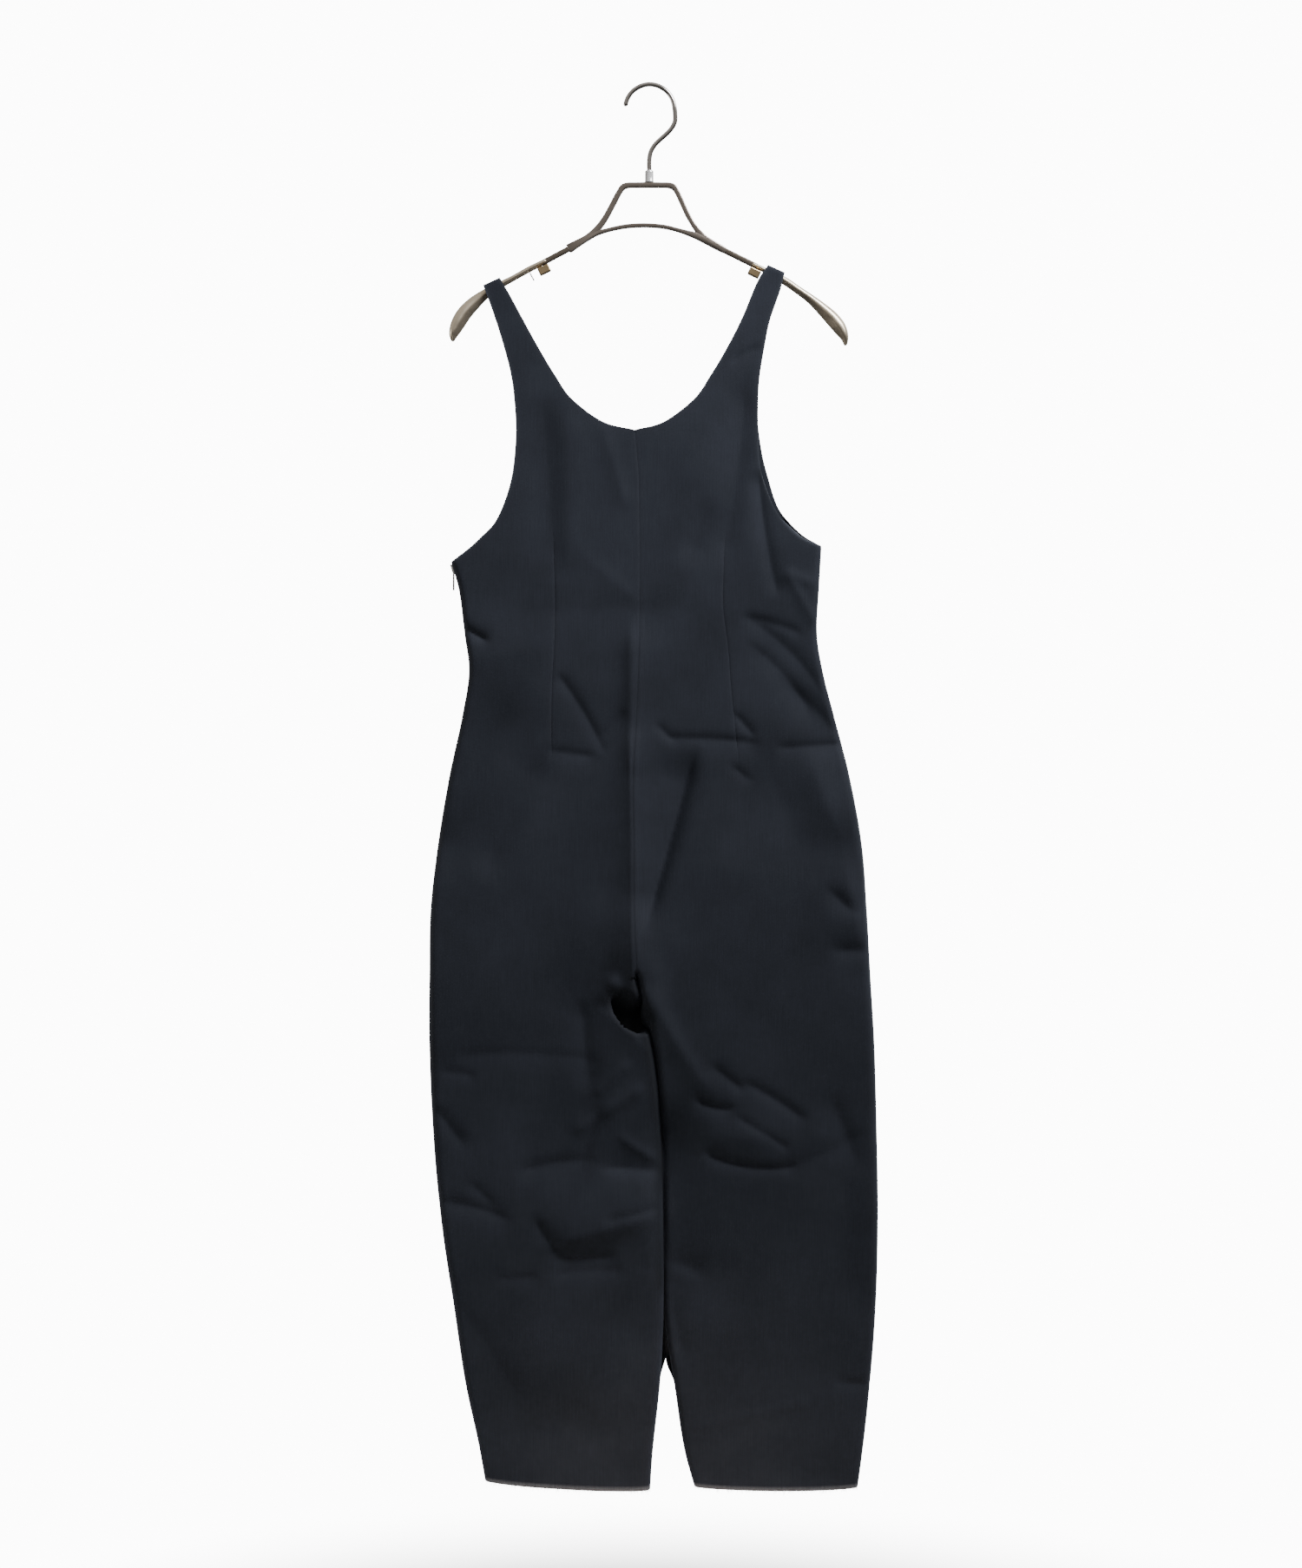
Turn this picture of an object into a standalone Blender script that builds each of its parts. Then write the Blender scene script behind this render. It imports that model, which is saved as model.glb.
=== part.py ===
"""Sleeveless dungarees in heavy navy cloth, hanging on an adjustable plastic hanger.

Frame: +Z up, the front faces -Y, and the wearer's left is at +X.  The origin is where a rail carries the
hook, at the inside of its top.  Sizes in the tables are millimetres; "drop" is the distance below the origin,
so Z = -drop.  The sides are the wearer's: the right side is at -X.
"""
import math

import bmesh
import bpy
import numpy as np
from mathutils import Matrix, Vector

MM = 0.001

# ---------------------------------------------------------------- driving sizes, in millimetres
WALL = 1.6              # thickness of the cloth
SEAM_GAP = 0.3          # room between two panels along a seam
LEG_GAP = 1.2           # room between the two legs where they touch
SEAM_STRIP = 4.0        # flat turn of the cloth beside a side seam or inseam, across the depth
ROUNDING = 0.17         # share of a panel's width that rounds over towards a seam
EDGE_SHARE = 0.22       # share of that rounding that stays flat beside the centre seam or a free edge
HEM_BOW = 5.0           # how far a hem hangs below the line between its corners
HEM_RISE = 90.0         # height over which that bow dies out above the hem
CROTCH_RISE = 48.0      # height over which the centre seam dives under the body
ARMHOLE_RISE = 60.0     # height over which the front and the back part above the underarm
CORNER_RELIEF = (0.6, 12.0)     # extra room where seams meet at the crotch and underarm, and its reach
STRAP_LIP = 1.2         # flat land at the top of a strap beside the shoulder seam
SEAT = 0.4              # room between the hanger and the strap that lies on it

HOOK_RADIUS = 27.0      # centre line of the hook's arc
HOOK_WIRE = 4.8         # diameter of the hook's wire
HOOK_X = 0.5            # where the arc's centre lies beside the origin
FERRULE = (9.4, 91.8, 104.7)    # diameter, drop of the top, drop of the bottom
FRAME_DEPTH = 8.0       # thickness of the hanger's frame, front to back
ARM_SIZE = (4.6, 6.6)   # sliding arm: height and depth
CLIP_SIZE = (13.0, 9.0, 8.4)    # clip that locks an arm: length, depth, height
NOTCH_SIZE = (1.6, 8.0, 9.0)    # strap notch under the shoulder end: length, depth, height
REST_GAP = 0.3          # room between two pieces of the hanger that touch

TAPE = (3.2, 0.8, 770.0)        # zip tape: half width, thickness, drop of its lower end
TAPE_GAP = 0.45                 # room between the tape and the cloth
SLIDER_BODY = (1.6, 4.1, 5.0)   # half thickness, half width, length
SLIDER_LUG = (0.8, 3.9)         # width and length of each of its two lugs
SLIDER_DROP = 526.0             # drop of the slider's middle along the side seam
PULL = (1.8, 3.0, 20.5)         # pull tab: thickness, half width, length below its pivot
PIVOT_REACH = 3.0               # from the slider's body to the pull's pivot

# ---------------------------------------------------------------- colours: base colour, metallic, roughness
FINISHES = {
    "navy_cloth": ((0.020, 0.024, 0.032), 0.0, 0.85),
    "zip_metal": ((0.62, 0.62, 0.60), 1.0, 0.30),
    "chrome": ((0.70, 0.68, 0.65), 1.0, 0.15),
    "bronze_plastic": ((0.30, 0.26, 0.22), 0.7, 0.30),
    "gold_plastic": ((0.42, 0.33, 0.20), 0.7, 0.35),
}

# ---------------------------------------------------------------- the cut of the garment
# One row for each section of a leg and of the body.  A panel lies between its inner edge (inseam, then the
# centre seam) and its outer edge (side seam); both are given as drop and x on the right and on the left.
# level: nominal drop that all four panels share; rows: how many grid rows lead down to the next section.
# name              level rows | right: in_drop  in_x  out_drop  out_x | left: in_drop  in_x  out_drop  out_x
LOWER_SECTIONS = [
    ("underarm",     515,  2,    515,  -10.8,  522, -215.6,            515,  -10.8,  505,  187.4),
    ("low_chest",    550,  2,    550,  -10.8,  552, -207.3,            550,  -10.8,  552,  184.6),
    ("rib",          590,  3,    590,  -11.0,  598, -201.4,            590,  -11.0,  596,  182.4),
    ("above_waist",  645,  3,    645,  -12.5,  645, -196.4,            645,  -12.5,  645,  189.6),
    ("waist",        690,  4,    690,  -14.6,  690, -203.6,            690,  -14.6,  690,  201.2),
    ("below_waist",  760,  4,    760,  -18.2,  755, -217.6,            760,  -18.2,  755,  217.8),
    ("high_hip",     830,  4,    830,  -17.4,  830, -230.2,            830,  -17.4,  830,  231.4),
    ("hip",          900,  5,    900,  -17.2,  900, -238.0,            900,  -17.2,  900,  236.8),
    ("crotch",       977,  4,    977,  -13.4,  972, -239.4,            977,  -13.4,  972,  240.8),
    ("high_thigh",  1060,  4,   1060,    5.8, 1052, -239.6,           1060,    5.8, 1052,  245.4),
    ("thigh",       1140,  4,   1140,   13.6, 1140, -236.0,           1140,   13.6, 1140,  247.8),
    ("above_knee",  1240,  5,   1240,   15.4, 1240, -227.0,           1240,   15.8, 1240,  249.2),
    ("knee",        1340,  4,   1340,   15.6, 1340, -212.4,           1350,   17.4, 1340,  246.6),
    ("shin",        1420,  3,   1420,   11.2, 1420, -200.2,           1425,   28.6, 1420,  240.6),
    ("above_hem",   1500,  2,   1500,    2.8, 1494, -184.4,           1500,   40.6, 1500,  231.8),
    ("hem",         1538,  0,   1536,    0.4, 1526, -178.8,           1532,   49.6, 1533,  227.2),
]
# The front above the underarm: neckline inside, armhole outside.
FRONT_SECTIONS = [
    ("strap_top",    212,  1,    209, -163.4,  217, -181.6,            196,  129.6,  203,  148.0),
    ("strap_bend",   232,  2,    229, -152.8,  233, -176.6,            214,  118.6,  224,  143.6),
    ("strap",        256,  2,    256, -138.2,  256, -168.6,            252,  102.6,  256,  132.6),
    ("neck_side_3",  287,  2,    287, -121.2,  287, -159.0,            287,   85.0,  290,  125.6),
    ("neck_side_2",  317,  2,    317, -103.2,  317, -151.4,            317,   67.2,  320,  120.8),
    ("neck_side_1",  346,  2,    346,  -82.0,  346, -147.6,            346,   46.4,  348,  119.2),
    ("neck_low",     368,  2,    369,  -50.0,  375, -146.0,            369,   15.0,  378,  119.2),
    ("neck_centre",  390,  1,    377.5, -16.0, 403, -147.2,            377.5, -16.0, 408,  120.4),
    ("chest_3",      425,  1,    425,  -11.8,  443, -154.0,            425,  -11.8,  440,  127.4),
    ("chest_2",      455,  2,    455,  -11.2,  478, -168.4,            455,  -11.2,  470,  141.2),
    ("chest_1",      485,  2,    485,  -10.9,  502, -190.4,            485,  -10.9,  494,  164.4),
]
# The back above the underarm: a deeper scoop, and at the left an armhole edge that stands out past the
# front's.
BACK_SECTIONS = [
    ("strap_top",    212,  1,    209, -163.4,  217, -181.6,            196,  129.6,  203,  148.0),
    ("strap_bend",   232,  1,    230, -154.4,  233, -175.6,            215,  121.0,  224,  143.0),
    ("strap",        256,  1,    258, -142.0,  258, -166.4,            256,  107.0,  258,  131.6),
    ("scoop_side_2", 300,  1,    304, -118.6,  304, -151.8,            304,   80.6,  304,  120.8),
    ("scoop_side_1", 346,  1,    356,  -87.0,  350, -145.4,            356,   51.0,  350,  118.4),
    ("scoop_low",    385,  1,    395,  -52.0,  392, -143.6,            395,   16.0,  392,  122.6),
    ("scoop_centre", 425,  1,    408,  -14.4,  436, -150.6,            408,  -14.4,  428,  131.0),
    ("back_2",       455,  2,    450,  -11.4,  476, -167.0,            450,  -11.4,  462,  142.6),
    ("back_1",       485,  2,    485,  -10.9,  503, -191.0,            485,  -10.9,  490,  164.6),
]
LEVELS = {name: level for name, level, *_ in LOWER_SECTIONS + FRONT_SECTIONS + BACK_SECTIONS}
COLUMNS = {"in_drop": 0, "in_x": 1, "out_drop": 2, "out_x": 3}
NECK_CORNER = {"front": "neck_centre", "back": "scoop_centre"}
ROW_SCALE = {"front": 0.85, "back": 0.6}     # grid rows of a panel, as a share of the tables' count

# Hanger.  The shoulder ends are bars of oval section along a bent line: x, drop, height, half depth.
SHOULDER_ENDS = {
    "right": [(-112.6, 191.0, 6.2, 4.6), (-130, 199.6, 7.0, 5.0), (-150, 210.6, 7.0, 5.4),
              (-166, 219.2, 8.6, 5.6), (-180, 227.8, 11.6, 5.8), (-192, 237.6, 15.6, 7.0),
              (-203, 249.4, 17.4, 9.5), (-211, 263.0, 15.6, 10.5), (-215, 273.4, 9.6, 8.5),
              (-215.6, 279.6, 3.0, 3.0)],
    "left": [(112.6, 194.6, 5.6, 4.6), (131, 203.6, 6.6, 5.2), (148, 212.9, 9.2, 5.6),
             (163, 223.2, 9.4, 6.0), (178, 234.0, 11.0, 7.0), (190, 244.6, 14.4, 8.5),
             (201, 255.4, 16.8, 10.0), (209, 265.6, 15.6, 10.5), (214.4, 276.4, 9.0, 8.0),
             (215.2, 284.2, 3.0, 3.0)],
}
# Outline of the frame, from the middle of its top round to the middle of the curved bar, each half in turn:
# x and drop of the outside, then of the window.
FRAME_OUTSIDE = {
    "right": [(-1, 105.0), (-24, 105.4), (-30, 107.2), (-33.6, 111.2), (-39, 120.4), (-46.2, 134.2),
              (-53.6, 146.4), (-62.4, 156.6), (-73, 164.8), (-89.6, 173.0), (-90.2, 175.0), (-86.6, 181.6),
              (-80.8, 178.0), (-68, 169.6), (-55.4, 162.6), (-38.8, 157.2), (-22.4, 154.2), (-2.6, 153.4)],
    "left": [(1, 105.0), (22, 105.4), (28, 107.2), (31.2, 111.2), (36.6, 122.0), (43.0, 136.4),
             (50.2, 149.6), (59.4, 160.6), (70.2, 168.6), (84.6, 177.2), (82.4, 182.6), (66, 174.8),
             (52, 167.6), (35.6, 160.2), (17.4, 155.2), (1, 153.4)],
}
FRAME_WINDOW = {
    "right": [(-1, 110.6), (-21, 110.8), (-26.6, 112.4), (-30.2, 117.2), (-34.8, 126.0), (-41.8, 139.4),
              (-49.0, 151.0), (-53.6, 157.2), (-38.8, 153.6), (-22.4, 150.9), (-2.6, 150.2)],
    "left": [(1, 110.6), (19, 110.8), (24.6, 112.4), (28.4, 117.2), (33.4, 128.0), (39.6, 141.4),
             (46.6, 153.4), (51.4, 159.8), (35.6, 156.4), (17.4, 151.9), (1, 150.2)],
}
# Run of the hook's wire below its arc: x, drop.
HOOK_NECK = [(28.4, 30), (28.2, 38), (24.6, 45.4), (18.6, 52), (11.6, 58.2), (5.6, 64.4), (1.6, 71.6),
             (0.1, 80), (0, 91.4)]
# Ends of the sliding arms, x and drop, from the frame to the shoulder end; x of what sits under a shoulder
# end.
ARMS = {"right": ((-88.9, 178.1), (-112.0, 190.6)), "left": ((84.2, 180.4), (112.0, 194.2))}
CLIP_X = {"right": -118.6, "left": 118.4}
NOTCH_X = -132.6

# How far the cloth stands from the garment's middle plane (half of its depth), down the garment.
# drop, half depth
BODY_DEPTH = [(190, 9), (260, 9), (330, 10), (420, 12), (520, 14), (640, 15), (760, 18), (880, 23),
              (1000, 25), (1140, 23), (1300, 21), (1450, 16), (1550, 13)]

# The largest folds.  Each is a soft stroke from one point to another on the flat front (x, drop), bowed
# sideways at its middle, and pressed in (sink > 0) or standing out (sink < 0).
# x0, drop0, x1, drop1, bow, half_width, sink
FRONT_FOLDS = [
    (-32, 640, -34, 905, 0, 11, 5.0),        # left foot of the ridge beside the centre seam
    (-19, 650, -17, 930, 0, 9, -2.5),        # the ridge itself
    (46, 735, 2, 915, 0, 12, 3.6),           # groove that runs down from the waist step to the centre
    (4, 712, 118, 716, 2, 13, 4.2),          # waist step, right of the centre
    (150, 722, 212, 724, 2, 13, 3.6),        # waist step at the left side seam
    (-108, 728, -60, 732, 2, 11, 3.6),       # waist step, left of the centre
    (-100, 650, -52, 730, 2, 10, 3.0),       # diagonal above it
    (106, 590, 186, 672, -10, 12, 4.6),      # diagonals from the left side of the waist
    (104, 622, 205, 716, -9, 13, 4.6),
    (136, 715, 216, 812, -6, 24, 5.2),       # broad hollow over the left hip
    (200, 870, 226, 930, 0, 20, 4.0),
    (-128, 635, -214, 850, 10, 26, 4.6),     # broad hollows over the right hip
    (-112, 745, -166, 868, 4, 20, 2.6),
    (-202, 596, -176, 606, 0, 9, 5.0),       # notch at the right side of the waist
    (126, 450, 136, 548, 2, 14, 4.2),        # hollow beside the left armhole
    (86, 470, 106, 410, 4, 12, 2.6),
    (-106, 372, -100, 500, 4, 16, 3.4),      # hollow down the right side of the chest
    (-28, 1010, -22, 1046, 0, 17, 15.0),     # cavity under the crotch
    (-52, 1100, -78, 1168, 6, 17, 5.0),      # knee of the right leg: hollow, roll and hollow
    (-60, 1212, 0, 1192, -4, 13, -5.5),
    (-38, 1176, 8, 1184, 2, 10, 6.0),
    (-120, 1236, -40, 1272, 10, 15, 5.0),
    (-196, 1345, -62, 1432, 14, 30, 4.5),    # broad hollow down the right shin
    (-196, 1062, -84, 1062, -7, 10, 3.0),    # shallow arc across the right thigh
    (8, 992, 66, 1100, -6, 12, -4.5),        # roll from the crotch across the left thigh
    (56, 1108, 90, 1116, 3, 9, 5.5),         # left knee: nick, bulge and crescent
    (70, 1146, 132, 1146, 4, 20, -5.0),
    (62, 1162, 160, 1168, 14, 11, 5.5),
    (206, 1108, 236, 1196, -8, 15, 4.0),
    (24, 1292, 66, 1288, 0, 20, 4.5),        # hollow beside the left inseam
    (196, 1402, 238, 1414, 0, 13, 4.0),
]
BACK_FOLDS = [
    (-60, 655, 40, 690, 10, 14, 4.0),        # soft waist folds
    (-196, 640, -120, 700, -6, 14, 4.2),
    (186, 650, 110, 716, 8, 14, 4.2),
    (-40, 820, -120, 930, 10, 20, 4.0),      # hollows under the seat
    (14, 820, 104, 936, -10, 20, 4.0),
    (-150, 1130, -70, 1176, 8, 16, 4.4),     # backs of the knees
    (90, 1136, 176, 1182, 8, 16, 4.4),
    (-170, 1330, -80, 1400, 12, 24, 3.6),
    (100, 1320, 190, 1396, 12, 24, 3.6),
]


def smooth(knots, values, corners, at):
    """Cubic curve through the values; it may turn sharply at the knots listed in corners.

    Slopes come from the parabola through three neighbouring knots, and from one side only at a corner.
    """
    knots, values, at = np.asarray(knots, float), np.asarray(values, float), np.asarray(at, float)
    step = np.diff(knots)
    chord = np.diff(values) / step
    slope_in, slope_out = np.zeros(len(knots)), np.zeros(len(knots))
    for k in range(len(knots)):
        if 0 < k < len(knots) - 1 and k not in corners:
            slope = (chord[k - 1] * step[k] + chord[k] * step[k - 1]) / (step[k - 1] + step[k])
            slope_in[k] = slope_out[k] = slope
        else:
            slope_in[k] = chord[max(k - 1, 0)]
            slope_out[k] = chord[min(k, len(chord) - 1)]
    k = np.clip(np.searchsorted(knots, at, side="right") - 1, 0, len(step) - 1)
    h = step[k]
    t = (at - knots[k]) / h
    return ((2 * t**3 - 3 * t**2 + 1) * values[k] + (t**3 - 2 * t**2 + t) * h * slope_out[k]
            + (3 * t**2 - 2 * t**3) * values[k + 1] + (t**3 - t**2) * h * slope_in[k + 1])


def ease(t):
    """0 to 1 with level ends."""
    t = np.clip(t, 0.0, 1.0)
    return t * t * (3 - 2 * t)


def body_depth(drop):
    """Half of the garment's depth at a drop."""
    drops, depths = zip(*BODY_DEPTH)
    return smooth(drops, depths, (), np.clip(drop, drops[0], drops[-1]))


def fold_sink(x, drop, folds):
    """How far the folds press the cloth in at points of the flat panel.

    Each fold is a bowed stroke with a bell-shaped section that fades to nothing at both of its ends.
    """
    sink = np.zeros_like(x)
    for x0, drop0, x1, drop1, bow, half_width, depth in folds:
        run = np.array([x1 - x0, drop1 - drop0], float)
        length = np.hypot(*run)
        along, across = run / length, np.array([run[1], -run[0]]) / length
        t = ((x - x0) * along[0] + (drop - drop0) * along[1]) / length
        off = (x - x0) * across[0] + (drop - drop0) * across[1] - bow * 4 * t * (1 - t)
        reach = half_width / length
        fade = ease((t + reach) / (2.5 * reach)) * ease((1 + reach - t) / (2.5 * reach))
        sink += depth * np.exp(-(off / half_width) ** 2) * fade
    return sink


def shoulder_line(side):
    """Smooth line of a shoulder end: rows of x, drop, height, half depth, from the frame outwards."""
    table = np.array(SHOULDER_ENDS[side], float)
    run = np.concatenate([[0], np.cumsum(np.hypot(*np.diff(table[:, :2], axis=0).T))])
    at = np.unique(np.concatenate([run, (run[1:] + run[:-1]) / 2]))
    return np.stack([smooth(run, table[:, k], (), at) for k in range(4)], axis=1)


def shoulder_top(side, x):
    """Drop of the top of a shoulder end under the strap."""
    line = shoulder_line(side)
    slope = np.hypot(*np.gradient(line[:, :2], axis=0).T) / np.abs(np.gradient(line[:, 0]))
    order = np.argsort(line[:, 0])
    return np.interp(x, line[order, 0], (line[:, 1] - line[:, 2] / 2 * slope)[order])


def under_shoulder(side, x, height):
    """Place of a block of some height hung under a shoulder end at x: x, drop and tilt in degrees."""
    line = shoulder_line(side)
    order = np.argsort(line[:, 0])
    near = np.array([x - 1.0, x, x + 1.0])
    drop = np.interp(near, line[order, 0], line[order, 1])
    thick = np.interp(x, line[order, 0], line[order, 2])
    slope = math.atan2(drop[0] - drop[2], 2.0)
    away = thick / 2 + REST_GAP + height / 2
    return x + away * math.sin(slope), drop[1] + away * math.cos(slope), math.degrees(slope)


def section_rows(side, face):
    """Edges of a panel, row by row from the strap down: level, inner drop and x, outer drop and x."""
    upper = FRONT_SECTIONS if face == "front" else BACK_SECTIONS
    sections = upper + LOWER_SECTIONS
    names = [row[0] for row in sections]
    levels = [row[1] for row in sections]
    start = 3 if side == "right" else 7
    edges = {key: [row[start + k] for row in sections] for key, k in COLUMNS.items()}
    for edge in ("in", "out"):
        edges[f"{edge}_drop"][0] = shoulder_top(side, edges[f"{edge}_x"][0]) - WALL - SEAT
    inner_corners = (names.index(NECK_CORNER[face]), names.index("crotch"))
    outer_corners = (names.index("underarm"),)
    at = []
    for k, (_, level, count, *_rest) in enumerate(sections[:-1]):
        pieces = max(1, math.floor(count * ROW_SCALE[face] + 0.5))
        at += [level + (levels[k + 1] - level) * i / pieces for i in range(pieces)]
    at = np.array(at + [levels[-1]], float)
    rows = {key: smooth(levels, edges[key], inner_corners if key[:2] == "in" else outer_corners, at)
            for key in COLUMNS}
    rows["level"] = at
    return rows


def cross_positions(face):
    """Columns of a panel as (from the inner edge, from the outer edge, plain share of the width).

    Angles are those of the rounding beside a seam: 90 degrees is where the cloth has turned edge on.
    """
    turns = (90, 62, 34, 0) if face == "front" else (90, 50, 0)
    middle = 6 if face == "front" else 3
    columns = [("in", None)] + [("in", a) for a in turns]
    columns += [("mid", (k + 1) / (middle + 1)) for k in range(middle)]
    columns += [("out", a) for a in reversed(turns)] + [("out", None)]
    return columns


def panel_grid(side, face):
    """Outer surface of a panel as a grid of points in millimetres, rows from the strap to the hem.

    Across a row the cloth leaves the inner edge, lies flat over the middle and rounds to the outer edge.
    An edge "stands" at 1 where it is a free edge or the centre seam, at the panel's full depth, and at 0
    where it is a side seam or inseam, at the garment's middle plane.
    """
    rows = section_rows(side, face)
    folds = FRONT_FOLDS if face == "front" else BACK_FOLDS
    hand = -1 if side == "right" else 1
    level = rows["level"]
    in_leg = level >= LEVELS["crotch"]
    stand_in = np.where(in_leg, 0.0, ease((LEVELS["crotch"] - rows["in_drop"]) / CROTCH_RISE))
    stand_out = ease((LEVELS["underarm"] - level) / ARMHOLE_RISE)
    in_x = rows["in_x"] + hand * np.where(in_leg, LEG_GAP, SEAM_GAP) / 2
    out_x = rows["out_x"]
    width = np.hypot(out_x - in_x, rows["out_drop"] - rows["in_drop"])
    relief, relief_reach = CORNER_RELIEF
    seam_y = SEAM_GAP / 2 + sum(relief * np.exp(-((level - LEVELS[corner]) / relief_reach) ** 2)
                                for corner in ("crotch", "underarm"))
    reach = ROUNDING * width
    grid = []
    for edge, turn in cross_positions(face):
        if edge == "mid":
            from_in = reach + turn * (width - 2 * reach)
            stand, cosine = np.zeros_like(width), 1.0
        else:
            stand = stand_in if edge == "in" else stand_out
            if turn is None:
                away, cosine = np.zeros_like(width), 0.0
            else:
                sine = math.sin(math.radians(turn))
                away = reach * (1 - sine * (1 - EDGE_SHARE * stand))
                cosine = math.cos(math.radians(turn))
            from_in = away if edge == "in" else width - away
        share = from_in / width
        x = in_x + (out_x - in_x) * share
        bow = HEM_BOW * (4 * share * (1 - share)) ** 0.6 * ease((level - LEVELS["hem"]) / HEM_RISE + 1)
        drop = rows["in_drop"] + (rows["out_drop"] - rows["in_drop"]) * share + bow
        full = body_depth(drop)
        if turn is None:
            y = seam_y + (full - seam_y) * stand
        else:
            turned = SEAM_STRIP + (full - SEAM_STRIP) * cosine
            y = turned + (full - turned) * stand
        clear = np.clip((y - SEAM_STRIP) / (full - SEAM_STRIP), 0, 1)
        by_seam = stand if edge == "in" and turn in (None, 90) else 0.0
        fold_x = x + (rows["in_x"] - x) * by_seam * (level > LEVELS[NECK_CORNER[face]])
        y = y - fold_sink(fold_x, drop, folds) * clear
        grid.append(np.stack([x, y, drop], axis=-1))
    grid = np.stack(grid, axis=1)
    return arch_strap(grid)


def arch_strap(grid):
    """Carries the top of a strap over the hanger, in a quarter turn that ends flat at the shoulder seam."""
    top, below = grid[0].copy(), grid[1]
    rows = []
    for angle in (90, 66, 44, 22):
        sine, cosine = math.sin(math.radians(angle)), math.cos(math.radians(angle))
        row = top.copy()
        row[:, 1] = STRAP_LIP + (top[:, 1] - STRAP_LIP) * cosine
        sag = (below[:, 2] - top[:, 2]) * 0.5 * (1 - sine)
        row[:, 2] = top[:, 2] + sag
        row[:, 0] = top[:, 0] + (below[:, 0] - top[:, 0]) * 0.5 * (1 - sine)
        rows.append(row)
    lip = top.copy()
    lip[:, 1] = SEAM_GAP / 2
    return np.concatenate([lip[None], np.stack(rows), grid[1:]])


def finish(name):
    """Material of one finish."""
    material = bpy.data.materials.get(name) or bpy.data.materials.new(name)
    material.use_nodes = True
    colour, metallic, roughness = FINISHES[name]
    shader = material.node_tree.nodes["Principled BSDF"]
    shader.inputs["Base Color"].default_value = (*colour, 1.0)
    shader.inputs["Metallic"].default_value = metallic
    shader.inputs["Roughness"].default_value = roughness
    return material


def add_object(name, mesh, material):
    """New object in the garment's collection."""
    obj = bpy.data.objects.new(name, mesh)
    garment.objects.link(obj)
    mesh.materials.append(finish(material))
    mesh.shade_smooth()
    mesh.set_sharp_from_angle(angle=math.radians(40))
    return obj


def make_panel(side, face):
    """One panel: a grid sheet bent to its form, given its thickness inwards by Solidify."""
    grid = panel_grid(side, face)
    rows, columns = grid.shape[:2]
    sheet = bmesh.new()
    bmesh.ops.create_grid(sheet, x_segments=columns - 1, y_segments=rows - 1, size=1.0)
    depth_sign = -1 if face == "front" else 1
    sheet.verts.ensure_lookup_table()
    for k, vert in enumerate(sheet.verts):
        x, y, drop = grid[k // columns, k % columns]
        vert.co = (x * MM, depth_sign * y * MM, -drop * MM)
    outward = Vector((0, depth_sign, 0))
    middle = sheet.faces[:][len(sheet.faces) // 2]
    middle.normal_update()
    if middle.normal.dot(outward) < 0:
        bmesh.ops.reverse_faces(sheet, faces=sheet.faces)
    mesh = bpy.data.meshes.new(f"{face}_{side}_panel")
    sheet.to_mesh(mesh)
    sheet.free()
    obj = add_object(f"{face}_{side}_panel", mesh, "navy_cloth")
    wall = obj.modifiers.new("wall", "SOLIDIFY")
    wall.thickness = WALL * MM
    wall.offset = -1.0
    wall.use_even_offset = False
    return obj


def make_loft(name, rings, material):
    """Closed solid through rings of equal point count, from one end to the other."""
    solid = bmesh.new()
    layers = [[solid.verts.new(Vector(point) * MM) for point in ring] for ring in rings]
    count = len(layers[0])
    for one, two in zip(layers, layers[1:]):
        for k in range(count):
            n = (k + 1) % count
            solid.faces.new((one[k], one[n], two[n], two[k]))
    solid.faces.new(layers[0])
    solid.faces.new(reversed(layers[-1]))
    bmesh.ops.recalc_face_normals(solid, faces=solid.faces)
    mesh = bpy.data.meshes.new(name)
    solid.to_mesh(mesh)
    solid.free()
    return add_object(name, mesh, material)


def make_outline(name, outlines, depth, material, plane=Matrix.Rotation(math.pi / 2, 4, "X")):
    """Flat plate from closed outlines of (x, drop) points, the first its edge and the others its holes.

    The curve is drawn in X and Y and then stood up, and its caps are welded to make one closed mesh.
    """
    curve = bpy.data.curves.new(name, "CURVE")
    curve.dimensions = "2D"
    curve.fill_mode = "BOTH"
    curve.extrude = depth * MM / 2
    for points in outlines:
        spline = curve.splines.new("POLY")
        spline.points.add(len(points) - 1)
        for point, (x, drop) in zip(spline.points, points):
            point.co = (x * MM, -drop * MM, 0, 1)
        spline.use_cyclic_u = True
    drawing = bpy.data.objects.new(name + "_outline", curve)
    bpy.context.scene.collection.objects.link(drawing)
    mesh = bpy.data.meshes.new_from_object(drawing.evaluated_get(bpy.context.evaluated_depsgraph_get()))
    bpy.data.objects.remove(drawing, do_unlink=True)
    solid = bmesh.new()
    solid.from_mesh(mesh)
    bmesh.ops.remove_doubles(solid, verts=solid.verts, dist=1e-5)
    bmesh.ops.transform(solid, matrix=plane, verts=solid.verts)
    bmesh.ops.recalc_face_normals(solid, faces=solid.faces)
    solid.to_mesh(mesh)
    solid.free()
    mesh.name = name
    mesh.materials.clear()
    return add_object(name, mesh, material)


def rounded(points):
    """The given points with one more between each pair, on a smooth curve through them all."""
    table = np.array(points, float)
    run = np.concatenate([[0], np.cumsum(np.hypot(*np.diff(table, axis=0).T))])
    at = np.sort(np.concatenate([run, (run[1:] + run[:-1]) / 2]))
    return list(zip(smooth(run, table[:, 0], (), at), smooth(run, table[:, 1], (), at)))


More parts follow.
